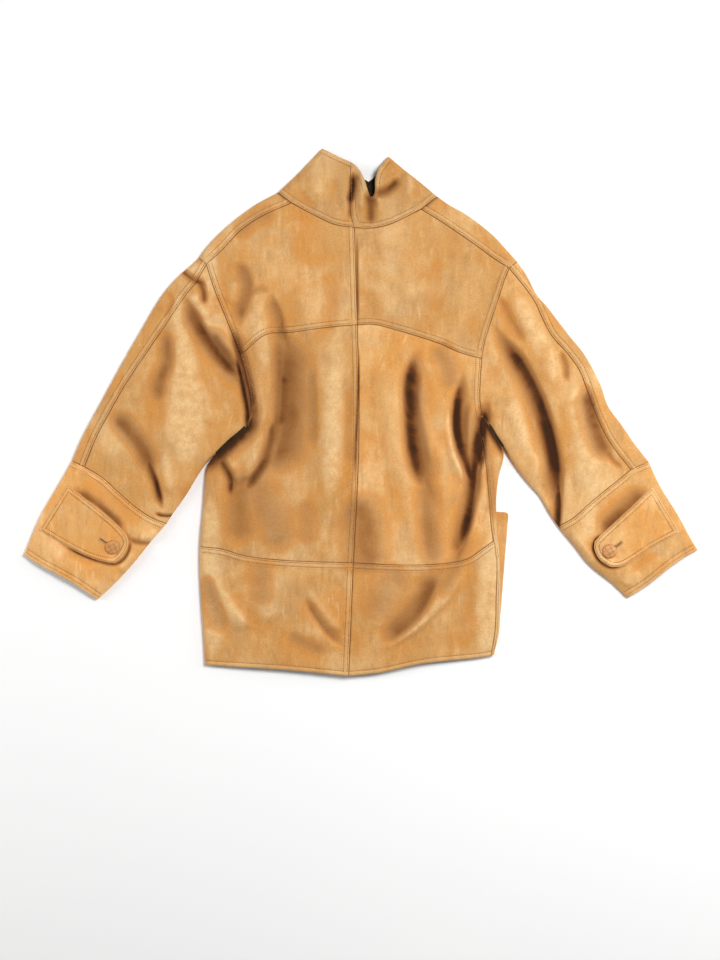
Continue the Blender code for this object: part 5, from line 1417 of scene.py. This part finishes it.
def capsules(name, stitches, length, radius, material, sink):
    """One mesh of short rounded stitches, from lists of middles, runs and normals."""
    middles, runs, normals = [np.concatenate(part) for part in zip(*stitches)]
    runs = runs / np.linalg.norm(runs, axis=1)[:, None]
    across = np.cross(normals, runs)
    across /= np.linalg.norm(across, axis=1)[:, None]
    up = np.cross(runs, across)
    rings = ((-0.5, 0.35, -sink), (-0.36, 1.0, 0.1), (0.36, 1.0, 0.1), (0.5, 0.35, -sink))
    sides = 5
    turns = np.arange(sides) * 2.0 * math.pi / sides
    points = []
    for along, share, raised in rings:
        centre = middles + runs * (along * length) + up * raised
        ring = centre[:, None] + radius * share * (
            np.cos(turns)[None, :, None] * across[:, None]
            + 0.75 * np.sin(turns)[None, :, None] * up[:, None])
        points.append(ring)
    points = np.stack(points, axis=1).reshape(-1, 3)
    each = sides * len(rings)
    pattern = []
    for ring in range(len(rings) - 1):
        for turn in range(sides):
            a, b = ring * sides + turn, ring * sides + (turn + 1) % sides
            pattern.append((a, b, b + sides, a + sides))
    quads = (np.arange(len(middles))[:, None, None] * each + np.array(pattern)[None])
    faces = quads.reshape(-1, 4).tolist()
    for start in range(0, len(middles) * each, each):
        faces.append(tuple(range(start + sides - 1, start - 1, -1)))
        faces.append(tuple(range(start + each - sides, start + each)))
    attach(placed(name, smooth_mesh(name, points, faces, [material])), "root")


def seam_stitches(name, rows, material, layer=+1, extra=()):
    """Stitch rows on the skin: each row is a line, side of it, distance, and its seam."""
    stitches = list(extra)
    sunk = 0.0 if layer > 0 else 0.3 / WALL
    for line, way, distance, role in rows:
        places, run = offset_points(line, way, distance)
        away, inward = fold_edge(places)
        deeper = fold_edge(places + 0.5 * inward)[0] > away
        keep = (away > 2.5) & (deeper | (away > 20.0))
        if not keep.any():
            continue
        outer, inner, along = on_skin(places[keep], run[keep] * HALF_STITCH, layer,
                                      [(line, role)])
        stitches.append((outer + (inner - outer) * sunk, along, outer - inner))
    capsules(name, stitches, STITCH_PITCH * 0.72, 0.72, material, 0.15)


# Lapped seams of one side: the mesh of their stitches, the line, and which side of it the
# rows are on, as a factor of the side's own way.
LAPPED_SEAMS = (("back", "yoke_seam", 1), ("back", "band_seam", -1),
                ("back", "armhole_low", -1), ("back", "armhole_high", -1),
                ("back", "shoulder_seam", 1), ("sleeves", "sleeve_seam", -1),
                ("sleeves", "whole_cuff_seam", -1), ("collar", "whole_neck", 1))


def rows_by(line, way, rows=STITCH_ROWS, role="over"):
    """Stitch rows on one side of a line."""
    return [(line, way, distance, role) for distance in rows]


def all_stitches(material):
    """Every visible row on the upper layer, in four joined meshes."""
    groups = {"back": [], "sleeves": [], "collar": [], "edges": []}
    for part in ("yoke", "back", "band"):
        groups["back"] += rows_by(LINES["centre", part], -1)
    groups["collar"] += rows_by(LINES["centre", "collar"].part(0.0, 0.8), 1)
    for side, way in SIDES.items():
        line = lines_of(side)
        for distance in STITCH_ROWS:
            for group, name, turn in LAPPED_SEAMS:
                groups[group].append((line[name], way * turn, distance, "over"))
            if side == "right":
                groups["back"].append((line["side_seam"].part(0.03, 1.0), 1, distance, "over"))
        groups["edges"].append((line["hem"], way, HEM_ROW, "mouth"))
        groups["edges"] += rows_by(line["cuff_mouth"], way, CUFF_ROWS, "cuff")
        groups["collar"].append((line["collar_top"], -way, HEM_ROW, "mouth"))
    for name, rows in groups.items():
        seam_stitches(f"stitches_{name}", rows, material)


def tilted(plan, side):
    """Directions in a pocket's own frame, turned as it lies."""
    turn = math.radians(POCKETS[side][2])
    return plan @ np.array([[math.cos(turn), math.sin(turn)],
                            [-math.sin(turn), math.cos(turn)]])


def pocket_rows(side):
    """Middles, runs and normals of the stitches on a pocket's outer face."""
    width, height = np.array(POCKET_SIZE) / 2.0
    level = height - POCKET_HEM
    lines = [Line([(-width + 4.0, level), (width - 4.0, level)])]
    for row in STITCH_ROWS:
        reach = POCKET_CORNER - row
        angles = np.linspace(0.0, math.pi / 2.0, 7)
        bend = np.column_stack([width - POCKET_CORNER + reach * np.cos(angles),
                                POCKET_CORNER - height - reach * np.sin(angles)])
        lines.append(Line(np.concatenate([
            [(width - row, height - 5.0)], bend, (bend * (-1.0, 1.0))[::-1],
            [(row - width, height - 5.0)]])))
    parts = [offset_points(line, 1, 0.0) for line in lines]
    plan, run = [tilted(np.concatenate(found), side) for found in zip(*parts)]
    flat = np.zeros((len(plan), 1))
    return (np.hstack([plan + POCKETS[side][:2], flat + 0.45]), np.hstack([run, flat]),
            np.hstack([flat, flat, flat - 1.0]))


def underside_stitches(material):
    """The rows on the lower layer: closing edge, pockets, seams, hems and cuffs."""
    rows = [(closing_column(-LAP), 1, HEM_ROW, "under")]
    for side, way in SIDES.items():
        line = lines_of(side)
        for distance in STITCH_ROWS:
            rows += [(line[name], -way, distance, "over")
                     for name in ("armhole_low", "armhole_high", "whole_cuff_seam")]
        rows += rows_by(line["cuff_mouth"], way, CUFF_ROWS, "cuff")
        rows.append((line["neck_front"], way, STITCH_ROWS[0], "under"))
        hem = line["hem"].without_end(LAP + LAP_RAMP if side == "left" else 0.0)
        rows.append((hem, way, HEM_ROW, "mouth"))
    hem = LINES["left", "hem"]
    rows.append((hem.part(1.0 - LAP / hem.length, 1.0), -1, HEM_ROW, "mouth"))
    seam_stitches("stitches_underside", rows, material, -1,
                  [pocket_rows(side) for side in SIDES])


# ------------------------------------------------------------ tabs and pockets

def tab_lines(side):
    """A tab's sewn end, its rounded end, and its upper and lower edge."""
    base, end = TABS[side]["base"], TABS[side]["end"]
    upper, lower, tip = [smooth([first, *BETWEEN[side][name], last]) for name, first, last in (
        ("tab_upper", base[0], end[0]), ("tab_lower", base[1], end[1]), ("tab_end", *end))]
    return smooth(base), tip, upper, lower


def slit_of(side):
    """The buttonhole: from under the button towards the tab's base."""
    button = np.array(TABS[side]["button"], float)
    base = np.array(TABS[side]["base"], float).mean(axis=0)
    return button, (base - button) / math.dist(base, button)


def tab_lift(places, side):
    """How far the tab stands off the cuff: at its rounded end, and a little at its edges."""
    _, tip, upper, lower = tab_lines(side)
    to_tip, to_upper, to_lower = [nearest(places, line)[0] for line in (tip, upper, lower)]
    along = nearest(places, upper)[1]
    return 3.0 * bell(to_tip, 12.0) + along * (1.3 * bell(to_upper, 9.0) + bell(to_lower, 9.0))


def cuff_tab(side):
    """The tab sewn across a cuff, lying on the cuff's own upper skin."""
    lines = tab_lines(side)
    grid, _, _ = fine_grid(Patch(*lines), TAB_STEP, *[MOUTH_LINES] * 4)
    under, inner, _ = skins(grid, +1)
    normal = (under - inner) / WALL
    places = grid.reshape(-1, 2)
    under[..., 2] += TAB_CLEARANCE + tab_lift(places, side).reshape(under.shape[:2])
    distance = closest(places, lines)
    rise = 0.5 * bell(distance - 4.6, 1.9) - 1.5 * fall(distance, 0.8)
    rise = add_bells(rise, distance, *[(-0.5, row, 0.9) for row in TAB_ROWS])
    rise += 0.35 * rumple(places, 16.0, 1) * ease(distance / 10.0)
    button, run = slit_of(side)
    away = places - button
    along = away @ run
    aside = away @ np.array([run[1], -run[0]])
    to_slit = np.hypot(np.maximum(np.maximum(-along, along - SLIT_LENGTH), 0.0), aside)
    rise = add_bells(rise, to_slit, (-2.2, 0.0, 0.95), (0.35, 2.2, 1.2))
    over = under + normal * (TAB_WALL + rise.reshape(under.shape[:2]))[..., None]
    # Painted shade in the buttonhole slit, and the tab's edges worn pale.
    marks = np.column_stack([16.0 * bell(to_slit, 1.1), 0.0 * rise,
                             FULL_MARK * bell(distance, 5.0)])
    return Piece((over, under, marks.reshape(over.shape)))


def tab_stitches(material, edging):
    """The two rows round each tab, and the thread worked round its buttonhole."""
    rows, threads = [], []

    def on_tab(places, run, side, beyond):
        outer, inner, along = on_skin(places, run)
        normal = (outer - inner) / WALL
        rise = TAB_WALL + TAB_CLEARANCE + beyond + tab_lift(places, side)
        return outer + normal * rise[:, None], along, normal

    for side, way in SIDES.items():
        base, tip, upper, lower = tab_lines(side)
        loop = (upper, tip, lower.reversed(), base.reversed())
        for row in TAB_ROWS:
            for line in loop:
                places, run = offset_points(line, -way, row)
                clear = closest(places, [other for other in loop if other is not line])
                keep = clear > row - 0.3
                rows.append(on_tab(places[keep], run[keep] * HALF_STITCH, side, -0.2))
        button, run = slit_of(side)
        across = np.array([run[1], -run[0]])
        spots, ways = [], []
        for along in np.arange(BUTTON_RADIUS - 2.0, SLIT_LENGTH, 1.15):
            for hand in (-1.0, 1.0):
                spots.append(button + run * along + across * hand * 2.1)
                ways.append(across)
        for turn in np.linspace(-1.2, 1.2, 7):
            out = run * math.cos(turn) + across * math.sin(turn)
            spots.append(button + run * SLIT_LENGTH + out * 2.3)
            ways.append(out)
        threads.append(on_tab(np.array(spots), np.array(ways), side, 0.05))
    capsules("stitches_tabs", rows, STITCH_PITCH * 0.74, 0.62, material, 0.15)
    capsules("buttonhole_thread", threads, 3.4, 0.7, edging, 0.5)


def pocket(side):
    """A patch pocket's wall, with round lower corners and a wide hem at its mouth."""
    half_width, half_height = POCKET_SIZE[0] / 2.0, POCKET_SIZE[1] / 2.0
    lines = np.array(MOUTH_LINES)
    up = np.concatenate([lines, np.linspace(16.0, 2 * half_height - 34.0, 30),
                         2 * half_height - np.linspace(30.0, 14.0, 9),
                         2 * half_height - lines[::-1]])
    into = np.clip((POCKET_CORNER - up) / POCKET_CORNER, 0.0, 1.0)
    half = half_width - POCKET_CORNER * (1.0 - np.sqrt(1.0 - into ** 2))
    into = np.clip(1.0 - (2 * half_height - up) / POCKET_TOP_CORNER, 0.0, 1.0)
    half -= POCKET_TOP_CORNER * (1.0 - np.sqrt(1.0 - into ** 2))
    edge = np.concatenate([lines, np.linspace(16.0, half_width, 12)])
    across = np.concatenate([edge, 2 * half_width - edge[-2::-1]]) / half_width - 1.0
    grid = np.stack(np.broadcast_arrays(across[None] * half[:, None],
                                        (up - half_height)[:, None]), axis=-1)
    inside = np.maximum(np.abs(grid[..., 0]) - (half_width - POCKET_CORNER), 0.0)
    below = np.maximum((POCKET_CORNER - half_height) - grid[..., 1], 0.0)
    round_edge = POCKET_CORNER - np.hypot(inside, below)
    straight = np.minimum(half_width - np.abs(grid[..., 0]), grid[..., 1] + half_height)
    distance = np.where((inside > 0) & (below > 0), round_edge, straight)
    distance = np.maximum(distance, 0.0)
    mouth = half_height - grid[..., 1]
    sunk = fall(np.minimum(distance, mouth), 0.7)
    sunk = add_bells(sunk, distance, *[(0.5, row, 0.9) for row in STITCH_ROWS])
    sunk = add_bells(sunk, mouth, (0.5, POCKET_HEM, 1.1))
    plan = tilted(grid, side) + POCKETS[side][:2]
    outer = np.concatenate([plan, sunk[..., None]], axis=-1)
    inner = np.concatenate([plan, (WALL - 0.6 * fall(distance, 0.7))[..., None]], axis=-1)
    marks = np.stack([0.0 * sunk, 0.0 * sunk, FULL_MARK * bell(distance, 6.0)], axis=-1)
    return Piece((outer, inner, marks))


# -------------------------------------------------------------------- buttons

def woven_button(name, place, normal, tall, turn, material):
    """A domed button woven from broad leather strips, on a short thread shank."""
    side = np.linspace(-1.0, 1.0, 61)
    u, v = np.meshgrid(side, side)
    x = u * np.sqrt(1.0 - v * v / 2.0)
    y = v * np.sqrt(1.0 - u * u / 2.0)
    radius = np.clip(np.hypot(x, y), 0.0, 1.0)
    rim = tall * 0.42
    dome = rim + (tall - 0.9 - rim) * np.sqrt(np.maximum(1.0 - radius ** 2.2, 0.0))
    a = (x * math.cos(turn) + y * math.sin(turn)) * BUTTON_RADIUS / LEATHER_STRIP + 40.5
    b = (y * math.cos(turn) - x * math.sin(turn)) * BUTTON_RADIUS / LEATHER_STRIP + 40.5
    first, second = a % 1.0 - 0.5, b % 1.0 - 0.5
    swap = (np.floor(a) + np.floor(b)) % 2 > 0.5
    cross = np.where(swap, first, second)
    along = np.where(swap, second, first)
    band = np.sqrt(np.maximum(1.0 - (2.06 * np.abs(cross)) ** 4, 0.0)) \
        * (0.55 + 0.45 * np.cos(math.pi * along))
    weave = 0.7 * (band - 0.1) * ease((1.0 - radius) / 0.16)
    outer = np.stack([x * BUTTON_RADIUS, y * BUTTON_RADIUS, dome + weave], axis=-1)
    shrink = 0.90
    inner = np.stack([x * BUTTON_RADIUS * shrink, y * BUTTON_RADIUS * shrink,
                      0.9 + 0.5 * radius ** 6], axis=-1)
    # Marks for the leather: painted shade between the strips, a painted highlight on them.
    marks = np.stack([FULL_MARK * (1.0 - band) ** 2 * (radius < 0.93),
                      FULL_MARK * band * (radius < 0.9), 0.0 * band], axis=-1)
    angles = np.linspace(0.0, 2.0 * math.pi, 13)
    shank = np.stack([np.outer(SHANK_RADII, np.cos(angles)),
                      np.outer(SHANK_RADII, np.sin(angles)),
                      np.repeat(np.array(SHANK_HEIGHTS)[:, None], 13, axis=1)], axis=-1)
    core = shank * np.array([0.4, 0.4, 1.0])
    piece = Piece((outer, inner, marks), (shank, core, np.zeros(shank.shape)))
    thing = piece.build(name, (material, material))
    way = Vector((0.0, 0.0, 1.0)).rotation_difference(Vector(normal)).to_matrix().to_4x4()
    thing.data.transform(Matrix.Translation(Vector(place) * MM) @ way)
    return thing


def surface_point(place, beyond):
    """A point off the upper layer's outer skin, and the skin's outward direction there."""
    step = 6.0
    grid = np.array([[place, place + (step, 0.0)], [place + (0.0, step), place]])
    outer = skins(grid, +1)[0]
    normal = np.cross(outer[0, 1] - outer[0, 0], outer[1, 0] - outer[0, 0])
    normal /= np.linalg.norm(normal)
    return outer[0, 0] + normal * beyond, normal


# ------------------------------------------------------- camera, light and floor

# Lens and sensor in mm, and in metres half the view's height, the level where it is that
# high, and its centre.
LENS = 85.0
SENSOR = 36.0
VIEW_HALF_HEIGHT = 0.840
VIEW_LEVEL = 0.012
VIEW_CENTRE = (-0.00175, -0.119)


def stage_floor(material):
    """A wide floor just under the coat."""
    mesh = bpy.data.meshes.new("floor")
    half, drop = 6.0, -0.0004
    mesh.from_pydata([(-half, -half, drop), (half, -half, drop), (half, half, drop),
                      (-half, half, drop)], [], [(0, 1, 2, 3)])
    mesh.materials.append(material)
    placed("floor", mesh)


def area_light(name, place, size, power):
    """A rectangular light that faces the middle of the coat."""
    data = bpy.data.lights.new(name, "AREA")
    data.shape = "RECTANGLE"
    data.size, data.size_y = size
    data.energy = power
    light = placed(name, data)
    light.location = place
    light.rotation_euler = (Vector() - Vector(place)).to_track_quat("-Z", "Y").to_euler()


def overhead_camera():
    """Straight above the coat, which fills the width of the frame's upper half."""
    data = bpy.data.cameras.new("camera")
    data.lens = LENS
    data.sensor_width = SENSOR
    camera = placed("camera", data)
    camera.location = (*VIEW_CENTRE, VIEW_HALF_HEIGHT * LENS / (SENSOR / 2.0) + VIEW_LEVEL)
    bpy.context.scene.camera = camera


def world_light(strength):
    """Even white light from all round."""
    world = bpy.data.worlds.new("studio")
    world.use_nodes = True
    background = world.node_tree.nodes["Background"]
    background.inputs["Color"].default_value = (1.0, 1.0, 1.0, 1.0)
    background.inputs["Strength"].default_value = strength
    bpy.context.scene.world = world


# ------------------------------------------------------------------- the cloth

# Brightness of each panel, and where its mottling is taken from, in metres.
TONES = {"back_yoke_left": (-0.02, 0.0, 0.0), "back_yoke_right": (-0.08, 0.7, 0.3),
         "back_left": (-0.05, 1.3, 0.9), "back_right": (0.05, 2.1, 0.2),
         "back_band_left": (0.0, 2.9, 1.7), "back_band_right": (-0.02, 3.3, 0.6),
         "cuff_left": (0.22, 1.2, 3.0), "cuff_right": (0.05, 0.4, 2.2),
         "sleeve_back_right": (0.0, 5.27, 2.89),
         "front_right": (-0.03, 0.4, 2.9),
         "collar_left": (-0.07, 3.41, 1.87), "collar_right": (-0.11, 3.72, 2.04),
         "cuff_tab_left": (0.20, 4.0, 1.0), "cuff_tab_right": (0.10, 4.0, 1.0),
         "pocket_left": (0.02, 5.0, 2.0), "pocket_right": (0.02, 5.0, 2.0)}


def cloth(name, piece, materials):
    """A cut piece of suede, in place of its CAD node."""
    tone = TONES.get(name, (0.0, 0.31 * len(name), 0.17 * len(name)))
    thing = piece.build(f"{name}_suede", materials, tone)
    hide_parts(name)
    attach(thing, "root")


def button(name, thing):
    """A woven button, in place of its CAD node."""
    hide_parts(name)
    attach(thing, "root")


skin = suede("suede")
inside = lining_and_painted_shade("lining_and_painted_shade")
yarn = thread("thread")
brown = leather("button_leather")
for side in SIDES:
    for maker in (upper_body, front, sleeve, collar):
        for name, piece in maker(side).items():
            cloth(name, piece, (skin, inside))
for side in SIDES:
    cloth(f"cuff_tab_{side}", cuff_tab(side), (skin, skin))
    cloth(f"pocket_{side}", pocket(side), (skin, skin))
    seat = TAB_CLEARANCE + TAB_WALL + 0.15
    spot, normal = surface_point(np.array(TABS[side]["button"], float), seat)
    button(f"cuff_button_{side}", woven_button(
        f"cuff_button_{side}_woven", spot, normal, CUFF_BUTTON_HEIGHT, 0.5, brown))
for number, (x, y) in enumerate(closing_buttons(), start=1):
    button(f"front_button_{number}", woven_button(
        f"front_button_{number}_woven", (x, y, FRONT_BUTTON_HEIGHT), (0.0, 0.0, -1.0),
        FRONT_BUTTON_HEIGHT, 0.3 * number, brown))
all_stitches(yarn)
underside_stitches(yarn)
tab_stitches(yarn, thread("buttonhole_thread", 0.5))

stage_floor(pale_floor("floor"))
overhead_camera()
world_light(0.21)
area_light("key", (1.0, 0.6, 2.5), (0.9, 0.9), 60)
area_light("left", (-2.3, 0.0, 0.75), (0.7, 2.2), 31)
area_light("right", (2.3, 0.1, 0.75), (0.7, 2.2), 23)
bpy.context.scene.view_settings.view_transform = "Standard"
